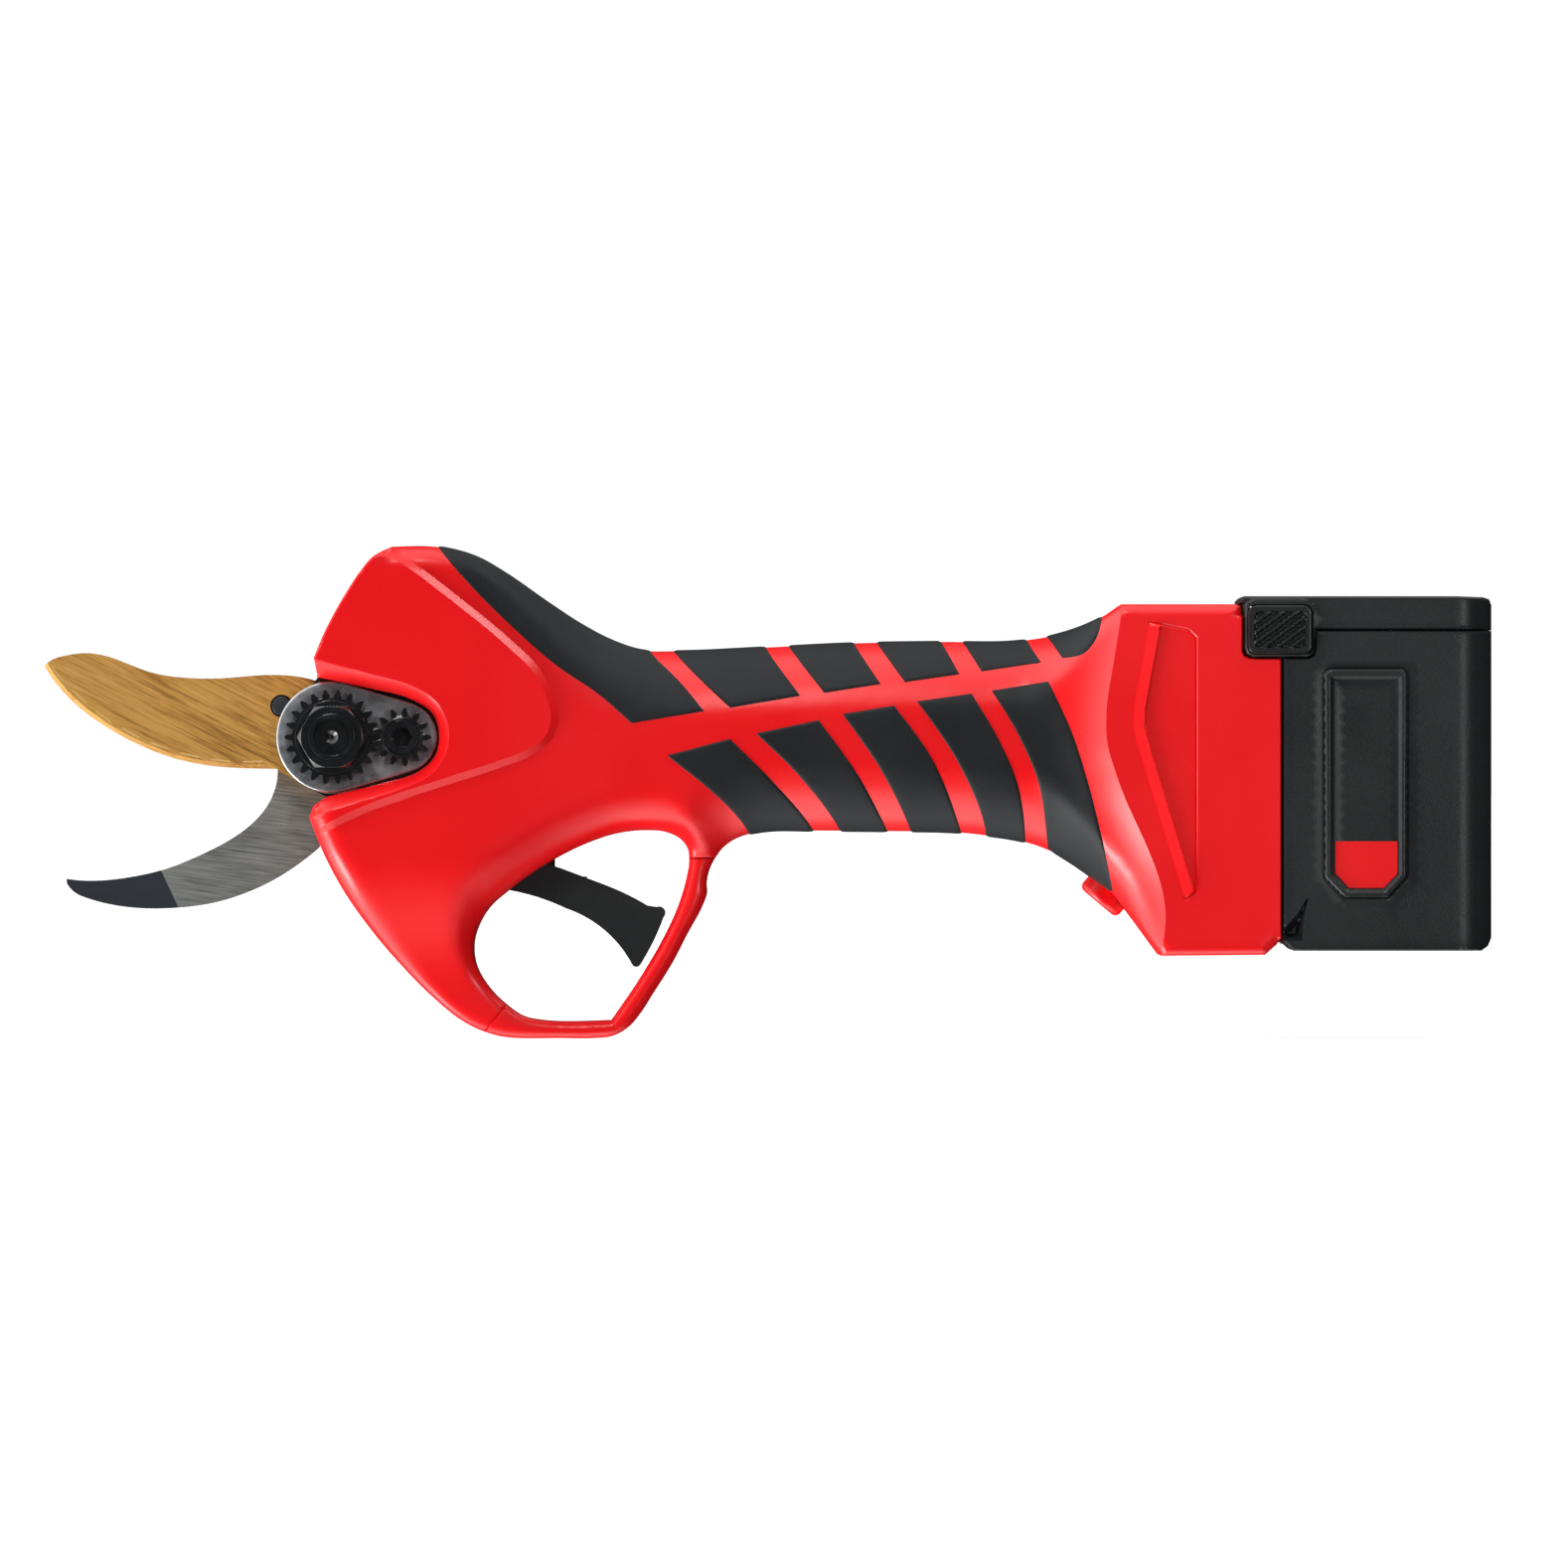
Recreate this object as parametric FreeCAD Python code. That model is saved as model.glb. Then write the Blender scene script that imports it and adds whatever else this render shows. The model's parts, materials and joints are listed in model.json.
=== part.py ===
"""Battery electric pruner, as an assembly of separate solids, in millimetres.

The tool is drawn round its own reference point: the origin is where the blade pivot (along Y) meets
the motor axis (along X). -X is towards the blade tips, +X towards the battery, +Z is up in the hand
and -Y is the operator's left. The last step moves everything into the row frame, whose origin is on
the floor under the middle of the tool.
"""

import FreeCAD
import Part

import math
import os

V = FreeCAD.Vector

# ---------------------------------------------------------------- driving dimensions
TIP_X = -61.75  # tip of the cutting blade, the tool's front end
REAR_X = 248.25  # rear face of the battery
FLOOR_Z = -64.5  # underside of the trigger guard
HEAD_DEPTH = 19.0  # half the width of the head
PANEL_DEPTH = 20.0  # half the width over the raised side panels
GRIP_DEPTH = 17.5  # half the width of the grip
SKIRT_DEPTH = 24.0  # half the width of the rear skirt and of the battery
GUARD_DEPTH = 8.0  # half the width of the trigger guard
WALL = 2.5
RUBBER = 1.3  # thickness of the overmoulded grip pads
SEAM = 0.1  # each housing half stops this far from the middle plane
SLIP = 0.05  # gap between faces that slide on each other

# layers across the pivot, from the left (most negative Y) to the right
BOLT_END_Y = -18.8
HEX_Y = -19.3
TEETH_Y = -17.4
CHEEK_Y = -15.0
BLADE_LEFT_Y = -11.7
BLADE_RIGHT_Y = -7.7
COUNTER_RIGHT_Y = -2.7
FRAME_RIGHT_Y = 8.0

# pivot and blade adjuster
BOLT_R = 3.97
BUSH_R = 6.0
CHEEK_R = 12.0  # big end of the cheek plate, round the pivot
LOCK_X = 15.0  # distance from the pivot to the locking pinion
LOCK_R = 7.6  # small end of the cheek plate
NUT_TEETH = 22
LOCK_TEETH = 13
ADJUST_MODULE = 2 * LOCK_X / (NUT_TEETH + LOCK_TEETH)
HEX_FLATS = 13.0  # M8 nut and bolt head, across flats

# final drive: a bevel pinion on the motor axis turns a toothed sector on the blade
BEVEL_MODULE = 1.0  # at the outer end of the teeth
BEVEL_OUT = 20.0  # outer end of the teeth, from the pivot
BEVEL_IN = 13.0  # inner end of the teeth
PINION_TEETH = 8
SECTOR_TEETH = 40  # as many as a full circle would have
SECTOR_FROM, SECTOR_TO = -58.2, 13.2  # degrees
CLOSING_ANGLE = 46.0  # degrees from open to fully closed

# planetary gearbox
SUN_TEETH, PLANET_TEETH, RING_TEETH = 12, 15, 42
PLANET_MODULE = 0.55
PLANETS = 3
PLANET_ORBIT = PLANET_MODULE * (SUN_TEETH + PLANET_TEETH) / 2
GEARBOX_FRONT, GEARBOX_REAR = 30.5, 47.0
GEARBOX_R = 13.5
FLANGE = (25.7, 30.0)  # the head frame's flange, which carries the gearbox
FLANGE_R = 14.0
SHAFT_R = 4.0

# motor
MOTOR_R = 13.0
MOTOR_FRONT, MOTOR_REAR = 48.4, 96.0
MOTOR_SHAFT_R = 1.9

# trigger
TRIGGER_PIVOT = (33.0, -24.0)
TRIGGER_HALF_WIDTH = 6.5
TRIGGER_TRAVEL = 14.0  # degrees
TRIGGER_PIN_R = 2.0

# power button, on the slope under the rear of the grip
BUTTON_POINT = (166.3, -33.1)
BUTTON_ANGLE = -130.0  # direction it points, in degrees
BUTTON_R = 5.2
BUTTON_TRAVEL = 1.5

# battery
BATTERY_FRONT = 203.4
BATTERY_TOP = 30.1
BATTERY_BOTTOM = -45.7
LID_Z = 22.9  # joint between the battery's case and its lid
NOSE_X = 195.2  # the lid reaches forward to here, over the skirt
NOSE_Z = 17.0
REAR_ROUND = 7.5
CASE_WALL = 2.0
CELL_R, CELL_LENGTH = 9.1, 65.0
CELL_X = (217.0, 236.0)
CELL_Y = (-9.6, 9.6)
TONGUE = (182.0, 15.0, -34.0, 10.0)  # front X, half width, lowest and highest Z
SOCKET_CLEARANCE = 0.5
LATCH_BOX = (197.2, 209.4, 18.2, 27.0)  # X from, to, Z from, to
LATCH_PROUD = 0.8
LATCH_TRAVEL = 2.5

SCREW_PLACES = (
    (11.0, 33.5), (51.0, 20.0), (13.0, -33.5), (24.5, -51.5),
    (107.0, 11.5), (107.0, -11.5), (173.5, 21.5), (182.5, -41.8),
)
SCREW_R = 1.5
SCREW_HEAD_R = 2.7
BOSS_R = 3.6

BEARING_R = 8.0
BEVEL_RISE = PINION_TEETH / SECTOR_TEETH  # pitch cone: its Y falls by this much per mm of radius
BLADE_PIN, BLADE_PIN_R = (-10.9, 6.7), 2.2
RIVET_AT, RIVET_R, RIVET_ANGLES = 16.5, 1.5, (-44.0, -2.0)
COUNTER_SCREW, COUNTER_LUG = (0.5, -17.5), 5.5
CARRIER = (31.5, 34.5)
PLANET_X = (35.0, 45.0)
SUN_RADII = (3.8, 2.6)  # tip and root
PLANET_RADII = (4.62, 3.42)
RING_RADII = (12.25, 11.05)
BOARD_X = (112.5, 160.0)
BLADE_Z = (-19.0, -14.0, -2.0, 3.0)  # heights of the terminal blades
BUTTON_PROUD = 3.2
BUTTON_OUT = V(math.cos(math.radians(BUTTON_ANGLE)), 0, math.sin(math.radians(BUTTON_ANGLE)))
BATTERY_SCREWS = ((226.5, -19.0), (226.5, 19.0), (243.6, 0.0), (209.4, 0.0))

nodes = {}


# ---------------------------------------------------------------- drawing helpers
def at(point, y=0.0):
    return V(point[0], y, point[1])


def path(start, *steps):
    """A closed wire in the XZ plane. A step is a point (line), a pair of points (arc through the
    first to the second) or a list of points (spline)."""
    edges = []
    here = start
    for step in steps:
        if isinstance(step, list):
            curve = Part.BSplineCurve()
            curve.interpolate([at(q) for q in [here, *step]])
            edges.append(curve.toShape())
            here = step[-1]
        elif isinstance(step[0], tuple):
            edges.append(Part.Arc(at(here), at(step[0]), at(step[1])).toShape())
            here = step[1]
        else:
            edges.append(Part.LineSegment(at(here), at(step)).toShape())
            here = step
    if math.dist(here, start) > 1e-6:
        edges.append(Part.LineSegment(at(here), at(start)).toShape())
    return Part.Wire(Part.__sortEdges__(edges))


def slab(wire, y0, y1):
    """The wire's face, pulled from y0 to y1."""
    face = Part.Face(wire)
    face.translate(V(0, y0, 0))
    return face.extrude(V(0, y1 - y0, 0))


def inset_slab(wire, inset, depth):
    """The outline, drawn in by the inset, as a slab that reaches the depth on both sides."""
    face = Part.Face(wire)
    if inset:
        face = face.makeOffset2D(-inset, join=0, fill=False)
    face.translate(V(0, -depth, 0))
    return face.extrude(V(0, 2 * depth, 0))


def box(x0, x1, y0, y1, z0, z1):
    return Part.makeBox(x1 - x0, y1 - y0, z1 - z0, V(x0, y0, z0))


def rod_x(x0, x1, radius, y=0.0, z=0.0):
    return Part.makeCylinder(radius, x1 - x0, V(x0, y, z), V(1, 0, 0))


def rod_y(x, z, radius, y0, y1):
    return Part.makeCylinder(radius, y1 - y0, V(x, y0, z), V(0, 1, 0))


def rod_z(x, y, radius, z0, z1):
    return Part.makeCylinder(radius, z1 - z0, V(x, y, z0), V(0, 0, 1))


def ring_x(x0, x1, outer, inner, y=0.0, z=0.0):
    return rod_x(x0, x1, outer, y, z).cut(rod_x(x0 - 1, x1 + 1, inner, y, z))


def ring_y(x, z, outer, inner, y0, y1):
    return rod_y(x, z, outer, y0, y1).cut(rod_y(x, z, inner, y0 - 1, y1 + 1))


def along_button(a, b, radius):
    """A rod on the power button's axis, from a to b out of the housing's surface."""
    return Part.makeCylinder(radius, b - a, at(BUTTON_POINT) + a * BUTTON_OUT, BUTTON_OUT)


def hex_y(x, z, flats, y0, y1):
    corner = flats / math.sqrt(3)
    points = [
        (x + corner * math.cos(math.radians(a)), z + corner * math.sin(math.radians(a)))
        for a in range(0, 360, 60)
    ]
    return slab(path(*points), y0, y1)


def polar(radius, degrees):
    return (radius * math.cos(math.radians(degrees)), radius * math.sin(math.radians(degrees)))


def hull_of_circles(x0, r0, x1, r1):
    """The outline round two circles on the X axis, the bigger one first."""
    lean = math.asin((r0 - r1) / (x1 - x0))
    s, c = math.sin(lean), math.cos(lean)
    return path(
        (x0 + r0 * s, r0 * c),
        (x1 + r1 * s, r1 * c),
        ((x1 + r1, 0.0), (x1 + r1 * s, -r1 * c)),
        (x0 + r0 * s, -r0 * c),
        ((x0 - r0, 0.0), (x0 + r0 * s, r0 * c)),
    )


def add(name, *solids):
    nodes.setdefault(name, []).extend(s for shape in solids for s in shape.Solids)


# ---------------------------------------------------------------- gears
PRESSURE = math.radians(25)


def involute(angle):
    return math.tan(angle) - angle


def gear_points(teeth, module, tip, root, slack, phase=0.0, steps=4):
    """(u, v) points round a gear: involute flanks between the root and tip radii. Positive slack
    thins each tooth; phase is the angle of one tooth's middle, in degrees."""
    pitch = module * teeth / 2
    base = pitch * math.cos(PRESSURE)
    at_pitch = math.pi / (2 * teeth) - slack / (2 * pitch) + involute(PRESSURE)

    def half(radius):
        return at_pitch - involute(math.acos(min(1.0, base / radius)))

    radii = [root + (tip - root) * i / steps for i in range(steps + 1)]
    points = []
    for k in range(teeth):
        middle = math.radians(phase) + 2 * math.pi * k / teeth
        flank = [(r, middle - half(r)) for r in radii]
        flank += [(r, middle + half(r)) for r in reversed(radii)]
        points += [(r * math.cos(a), r * math.sin(a)) for r, a in flank]
    return points


def prism(points, place, pull):
    corners = [place(*q) for q in points]
    return Part.Face(Part.makePolygon([*corners, corners[0]])).extrude(pull)


def spur_y(points, x, z, y0, y1):
    return prism(points, lambda u, v: V(x + u, y0, z + v), V(0, y1 - y0, 0))


def spur_x(points, x0, x1, y=0.0, z=0.0):
    return prism(points, lambda u, v: V(x0, y + u, z + v), V(x1 - x0, 0, 0))


def loft_polygons(first, second):
    wires = [Part.makePolygon([*w, w[0]]) for w in (first, second)]
    return Part.makeLoft(wires, True, True)


# ---------------------------------------------------------------- outlines of the housing
def head_wire():
    return path(
        (-3.8, 16.8),
        ((0.9, 27.6), (8.5, 38.4)),
        (12.7, 40.9),
        (20.8, 40.9),
        ((34.3, 37.0), (46.5, 29.3)),
        ((57.0, 22.6), (68.1, 18.4)),
        (71.0, 16.0),
        (71.0, -17.0),
        (68.0, -19.7),
        ((57.0, -21.2), (47.7, -25.9)),
        (36.9, -33.4),
        ((30.3, -43.0), (33.5, -53.0)),
        (37.9, -57.9),
        (32.5, -62.8),
        ((10.3, -44.5), (-2.7, -20.5)),
        (-4.9, -16.9),
        (-3.8, -15.1),
    )


def panel_wire():
    """The raised side panel round the adjuster window."""
    return path(
        (-3.8, 16.8),
        ((0.9, 27.6), (8.5, 38.4)),
        ((11.5, 39.2), (14.5, 37.6)),
        (38.4, 18.7),
        ((46.4, 8.5), (43.5, -1.9)),
        (35.4, -5.2),
        (-0.9, -19.1),
        (-3.4, -19.4),
        (-4.9, -16.9),
        (-3.8, -15.1),
    )


def skirt_wire():
    return path(
        (169.0, 28.4),
        (192.6, 28.4),
        (194.8, 26.0),
        (194.8, NOSE_Z - 0.3),
        (BATTERY_FRONT - 0.4, NOSE_Z - 0.3),
        (BATTERY_FRONT - 0.4, -43.5),
        (200.0, -46.7),
        (177.6, -46.7),
        (178.3, -37.2),
        ((166.0, 2.0), (169.0, 28.4)),
    )


def slope_wire():
    """The sloping underside between the grip and the skirt."""
    return path(
        (149.0, -15.0),
        (152.5, -23.8),
        (162.3, -29.5),
        (170.7, -36.5),
        (177.6, -46.7),
        (185.0, -46.7),
        (185.0, -15.0),
    )


GRIP_SECTIONS = (  # X, top, bottom, half width
    (52.0, 25.8, -21.0, 18.2),
    (60.0, 21.2, -20.0, 17.8),
    (70.0, 18.4, -19.9, GRIP_DEPTH),
    (90.0, 19.3, -20.2, GRIP_DEPTH),
    (115.0, 20.4, -20.0, GRIP_DEPTH),
    (135.0, 20.9, -20.5, GRIP_DEPTH),
    (149.0, 21.1, -22.4, 17.8),
    (158.0, 23.4, -27.0, 19.4),
    (169.0, 28.0, -34.0, 22.6),
    (178.0, 28.2, -38.0, 23.2),
)


def grip(inset):
    rings = []
    for x, top, bottom, depth in GRIP_SECTIONS:
        middle = V(x, 0, (top + bottom) / 2)
        ellipse = Part.Ellipse(V(x, 0, top - inset), V(x, depth - inset, middle.z), middle)
        rings.append(Part.Wire([ellipse.toShape()]))
    return Part.makeLoft(rings, True, False)


def head(inset):
    """The head and the arm that runs down to the guard, which narrows towards the bottom."""
    deep = HEAD_DEPTH - inset
    block = inset_slab(head_wire(), inset, deep)
    if not inset:
        block = eased(block, deep, 2.0)
    narrow = [
        V(-30, -deep, 60), V(-30, deep, 60), V(-30, deep, -20),
        V(-30, GUARD_DEPTH + 1.0 - inset, -66), V(-30, -GUARD_DEPTH - 1.0 + inset, -66),
        V(-30, -deep, -20),
    ]
    limit = Part.Face(Part.makePolygon([*narrow, narrow[0]])).extrude(V(120, 0, 0))
    return block.common(limit)


def skirt(inset):
    block = inset_slab(skirt_wire(), inset, SKIRT_DEPTH - inset)
    if not inset:
        block = eased(block, SKIRT_DEPTH, 3.0)
    slope = inset_slab(slope_wire(), inset, 18.0 - inset)
    return block, slope


def guard_stub(inset):
    """The root of the trigger guard, under the front of the grip."""
    wire = path(
        (66.0, -17.0),
        (69.0, -19.9),
        ((74.9, -21.9), (76.7, -25.9)),
        (82.1, -25.9),
        ((84.6, -22.6), (89.4, -20.4)),
        (89.4, -17.0),
    )
    return inset_slab(wire, inset, GUARD_DEPTH - inset)


def body(inset):
    block, slope = skirt(inset)
    return grip(inset).fuse([head(inset), block, slope])


def eased(slab_shape, depth, radius):
    """The slab with the rims of both its side faces rounded."""
    rims = [e for e in slab_shape.Edges if abs(abs(middle_of(e).y) - depth) < 0.01]
    return slab_shape.makeFillet(radius, rims)


def middle_of(edge):
    return edge.valueAt((edge.FirstParameter + edge.LastParameter) / 2)


def one_side(side, gap):
    """Everything on one side of the middle plane: side is -1 for left and 1 for right."""
    y0, y1 = sorted((side * gap, side * 60))
    return box(-90, 280, y0, y1, -90, 90)


# ---------------------------------------------------------------- housing
def window_wire():
    """The opening in the left side panel that shows the blade adjuster."""
    return path(
        (-8.0, 16.6),
        (-3.8, 15.6),
        (19.5, 8.8),
        ((23.7, 0.0), (20.0, -8.4)),
        (-3.8, -14.0),
        (-8.0, -14.0),
    )


def housing():
    outer = body(0).fuse([guard_stub(0), inset_slab(panel_wire(), 0, PANEL_DEPTH)])
    shell = outer.cut(body(WALL))
    bosses = [rod_y(x, z, BOSS_R if z > -50 else 3.2, -24, 24) for x, z in SCREW_PLACES]
    ribs = [
        box(a, b, -22, 22, -24, 30).cut(rod_x(a - 1, b + 1, bore + SLIP))
        for a, b, bore in (
            (26.5, 29.5, FLANGE_R), (41.0, 43.5, GEARBOX_R), (58.0, 60.5, MOTOR_R), (86.0, 88.5, MOTOR_R)
        )
    ]
    ribs += [box(x, x + 2, -22, 22, z, z + 9) for x in (118.0, 148.0) for z in (-21.2, 12.2)]
    ribs += [box(40.0, 48.0, -18, 18, -15.0, -14.0), box(53.0, 63.0, -16, 16, -22, -17.5)]
    pin_boss = rod_y(*TRIGGER_PIVOT, 4.5, -19, 19)
    button_seat = along_button(-5.5, 0.5, BUTTON_R + 2.0)
    collar = inset_slab(window_wire(), -1.5, 30).common(box(-3.8, 30, -30, -12.3, -30, 30))
    inside = Part.makeCompound([*bosses, *ribs, pin_boss, button_seat, collar]).common(outer)
    shell = shell.fuse(inside.Solids)
    return shell.cut(Part.makeCompound(housing_cuts()).Solids)


def housing_cuts():
    x, z = TRIGGER_PIVOT
    slots = [
        box(-12.0, 9.0, -12.2, FRAME_RIGHT_Y + 0.2, -26.5, 16.0),  # mouth for the blades
        slab(window_wire(), -24, -14.3),
        slab(hull_of_circles(0, CHEEK_R + 0.1, LOCK_X, LOCK_R + 0.1), -16, -12.0),
        box(-12, -3.8, -24, -12.0, -14.6, 16.6),
        rod_y(0, 0, 9.0, FRAME_RIGHT_Y - 1, 30.0),  # access to the head of the pivot bolt
        rod_y(*COUNTER_SCREW, 3.9, FRAME_RIGHT_Y - 1, 30.0),
        rod_z(44, 0, 4.2, -30.0, -15.0),  # chamber of the trigger spring
        rod_y(0, 0, BEVEL_OUT + 1.2, -12.2, FRAME_RIGHT_Y + 0.2).common(box(0.5, 30, -20, 20, -30, 30)),
        box(x - 6.0, 52.0, -TRIGGER_HALF_WIDTH - 0.4, TRIGGER_HALF_WIDTH + 0.4, -33.8, -17.0),
        rod_y(x, z, TRIGGER_PIN_R + 0.02, -12.0, 12.0),
        box(BATTERY_FRONT - 8, BATTERY_FRONT + 2, -TONGUE[1] - SOCKET_CLEARANCE,
            TONGUE[1] + SOCKET_CLEARANCE, TONGUE[2] - SOCKET_CLEARANCE,
            TONGUE[3] + SOCKET_CLEARANCE),
        along_button(-9.0, 5.0, BUTTON_R + SLIP),
        along_button(-11.5, -2.5, BUTTON_R + 1.2),
        box(32.3, 36.7, -2.55, 2.55, -61.7, -57.1),  # pockets for the tongues of the guard
        box(77.3, 81.3, -2.55, 2.55, -26.5, -21.9),
    ]
    for x, z in SCREW_PLACES:
        slots.append(rod_y(x, z, SCREW_R + 0.02, -8.2, 12.0))
        slots.append(rod_y(x, z, SCREW_HEAD_R + 0.2, 8.0, 26.0))
    return slots


PADS = (
    path((19.0, 43.0), (28.1, 34.1), (39.9, 22.3), ((49.6, 13.4), (64.1, 2.9)), (79.8, 5.5),
         (66.5, 21.0), (66.5, 43.0)),
    path((71.5, 23.0), (85.2, 6.2), (100.4, 8.8), (90.0, 23.0)),
    path((95.0, 23.0), (105.4, 9.4), (117.6, 11.3), (109.5, 23.0)),
    path((115.0, 23.0), (122.7, 11.7), (134.5, 13.4), (129.0, 23.0)),
    path((133.5, 23.0), (139.1, 14.0), (152.0, 15.9), (147.6, 23.0)),
    path((152.2, 23.0), (156.4, 16.8), ((162.8, 19.2), (165.3, 27.5)), (160.0, 27.5)),
    path((71.7, -3.9), (85.2, -0.3), (103.4, -20.8), (103.4, -24), (86.0, -24), (88.6, -20.5)),
    path((90.7, 0.8), (104.2, 3.7), (121.0, -23.0), (107.0, -23.0)),
    path((109.2, 5.0), (120.4, 6.8), (136.5, -23.0), (123.0, -23.0)),
    path((125.2, 7.7), (137.0, 9.4), ((145.6, -6.0), (149.2, -24.5)), (138.5, -24.5)),
    path((141.2, 10.0), (153.4, 12.0), ((163.6, -12.0), (167.8, -33.6)), (158.0, -30.0),
         (153.6, -27.0), ((151.5, -11.0), (146.7, 0.8))),
)


def overmould():
    """The rubber pads of the grip, set into the housing down to the depth RUBBER."""
    skin = body(0).cut(body(RUBBER))
    prints = Part.makeCompound([slab(w, -30, 30) for w in PADS])
    return skin.common(prints).cut(along_button(-12, 8, BUTTON_R + 1.2))


shell = housing()
pads = overmould()
for side, word in ((-1, "left"), (1, "right")):
    half = one_side(side, SEAM)
    add(f"grip_overmold_{word}", pads.common(half))
    add(f"housing_{word}", shell.common(half).cut(pads.common(one_side(side, 0))))


# ---------------------------------------------------------------- trigger guard
def guard_bow():
    wire = path(
        (32.6, -62.9),
        ((35.0, -63.8), (39.4, -64.4)),
        (56.0, -64.5),
        ((61.6, -62.9), (65.3, -59.2)),
        (79.0, -35.8),
        ((80.3, -33.4), (80.0, -31.0)),
        ((80.6, -28.4), (82.0, -26.0)),
        (76.7, -26.0),
        ((75.6, -32.8), (71.1, -44.5)),
        (61.9, -58.2),
        ((60.2, -60.2), (57.9, -60.9)),
        (44.2, -60.7),
        ((40.8, -59.7), (38.0, -58.0)),
    )
    bow = inset_slab(wire, 0, GUARD_DEPTH)
    tongues = [box(32.4, 36.6, -2.5, 2.5, -61.6, -57.2), box(77.4, 81.2, -2.5, 2.5, -28, -22)]
    return bow.fuse(tongues)


add("trigger_guard", guard_bow())


# ---------------------------------------------------------------- blades and pivot
def cutting_blade():
    back = [
        (-61.0, 16.0), (-57.2, 17.5), (-52.3, 18.0), (-48.6, 17.4), (-39.3, 14.0), (-31.1, 12.7),
        (-24.0, 12.6), (-14.8, 13.3), (-8.3, 13.1), polar(CHEEK_R, 102),
    ]
    edge = [
        (-18.1, -6.7), (-24.6, -6.3), (-34.4, -4.4), (-44.2, -0.3), (-50.7, 3.6), (-56.4, 8.3),
        (-61.75, 15.2),
    ]
    first, last = SECTOR_FROM - 0.8, SECTOR_TO + 0.8
    reach = BEVEL_OUT + 0.3
    wire = path(
        (-61.75, 15.2),
        back,
        (polar(CHEEK_R, 58), polar(CHEEK_R, last)),
        polar(reach, last),
        (polar(reach, (first + last) / 2), polar(reach, first)),
        polar(CHEEK_R, first),
        (polar(CHEEK_R, 270), polar(CHEEK_R, 236)),
        (-12.0, -6.8),
        edge,
    )
    blade = slab(wire, BLADE_LEFT_Y, BLADE_RIGHT_Y)
    sharp = [e for e in blade.Edges if is_sharp(e)]
    blade = blade.makeChamfer(2.0, 0.9, sharp)
    holes = [rod_y(0, 0, BUSH_R, -20, 0), rod_y(*BLADE_PIN, BLADE_PIN_R, -20, 0)]
    holes += [rod_y(*polar(RIVET_AT, a), RIVET_R, -20, 0) for a in RIVET_ANGLES]
    return blade.cut(holes)


def is_sharp(edge):
    """The long edge of the blade's left face, along the side that cuts."""
    spot = middle_of(edge)
    return edge.Length > 40 and spot.z < 5 and abs(spot.y - BLADE_LEFT_Y) < 0.01


def counter_blade():
    hook = [
        (-12.4, -11.0), (-14.8, -15.7), (-19.7, -20.4), (-27.9, -25.0), (-36.8, -28.5),
        (-44.2, -30.1), (-52.3, -30.8), (-57.2, -30.4),
    ]
    back = [
        (-49.1, -35.6), (-43.8, -36.5), (-38.0, -36.8), (-33.2, -36.6), (-26.2, -35.7),
        (-19.7, -33.8), (-13.2, -30.9), (-7.5, -27.3), (-3.2, -23.9),
    ]
    x, z = COUNTER_SCREW
    wire = path(
        polar(13.6, 209),
        hook,
        (-57.1, -31.4),
        ((-55.9, -32.9), (-54.0, -34.1)),
        back,
        (x - 3.0, z - COUNTER_LUG),
        (x + 1.0, z - COUNTER_LUG),
        ((x + 4.6, z - 3.0), (x + COUNTER_LUG, z + 1.0)),
        polar(CHEEK_R, -64),
        (polar(CHEEK_R, 40), polar(CHEEK_R, 150)),
        polar(CHEEK_R, 195),
    )
    blade = slab(wire, BLADE_RIGHT_Y + SLIP, COUNTER_RIGHT_Y)
    return blade.cut([rod_y(0, 0, SHAFT_R, -20, 0), rod_y(x, z, 2.02, -20, 0)])


def bevel_tooth(angle):
    """One tooth of the sector; every line of it runs to the origin."""
    wires = []
    for rho in (BEVEL_IN, BEVEL_OUT):
        k = rho / BEVEL_OUT * BEVEL_MODULE
        c, s = polar(1, angle)
        half = math.pi / 4 - 0.10
        shape = [
            (-half - 1.7 * math.tan(PRESSURE), -1.7), (-half + 0.85 * math.tan(PRESSURE), 0.85),
            (half - 0.85 * math.tan(PRESSURE), 0.85), (half + 1.7 * math.tan(PRESSURE), -1.7),
        ]
        wires.append([
            V(rho * c - k * t * s, k * y - BEVEL_RISE * rho, rho * s + k * t * c) for t, y in shape
        ])
    return loft_polygons(*wires)


def sector_body(inner, outer, low, high_in, high_out):
    """A fan-shaped block on the right face of the blade, its top sloping outwards."""
    profile = [(inner, low), (outer, low), (outer, high_out), (inner, high_in)]
    corners = [V(r, y, 0) for r, y in profile]
    face = Part.Face(Part.makePolygon([*corners, corners[0]]))
    face.rotate(V(0, 0, 0), V(0, -1, 0), SECTOR_FROM)
    return face.revolve(V(0, 0, 0), V(0, -1, 0), SECTOR_TO - SECTOR_FROM)


def drive_sector():
    root = BEVEL_RISE + 1.25 * BEVEL_MODULE / BEVEL_OUT
    fan = sector_body(
        BEVEL_IN - 0.6, BEVEL_OUT, BLADE_RIGHT_Y, -root * (BEVEL_IN - 0.6), -root * BEVEL_OUT
    )
    step = 360 / SECTOR_TEETH
    teeth = [bevel_tooth(step * k) for k in range(-6, 2)]
    sector = fan.fuse(teeth)
    return sector.cut([rod_y(*polar(RIVET_AT, a), RIVET_R, -20, -5.6) for a in RIVET_ANGLES])


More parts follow.
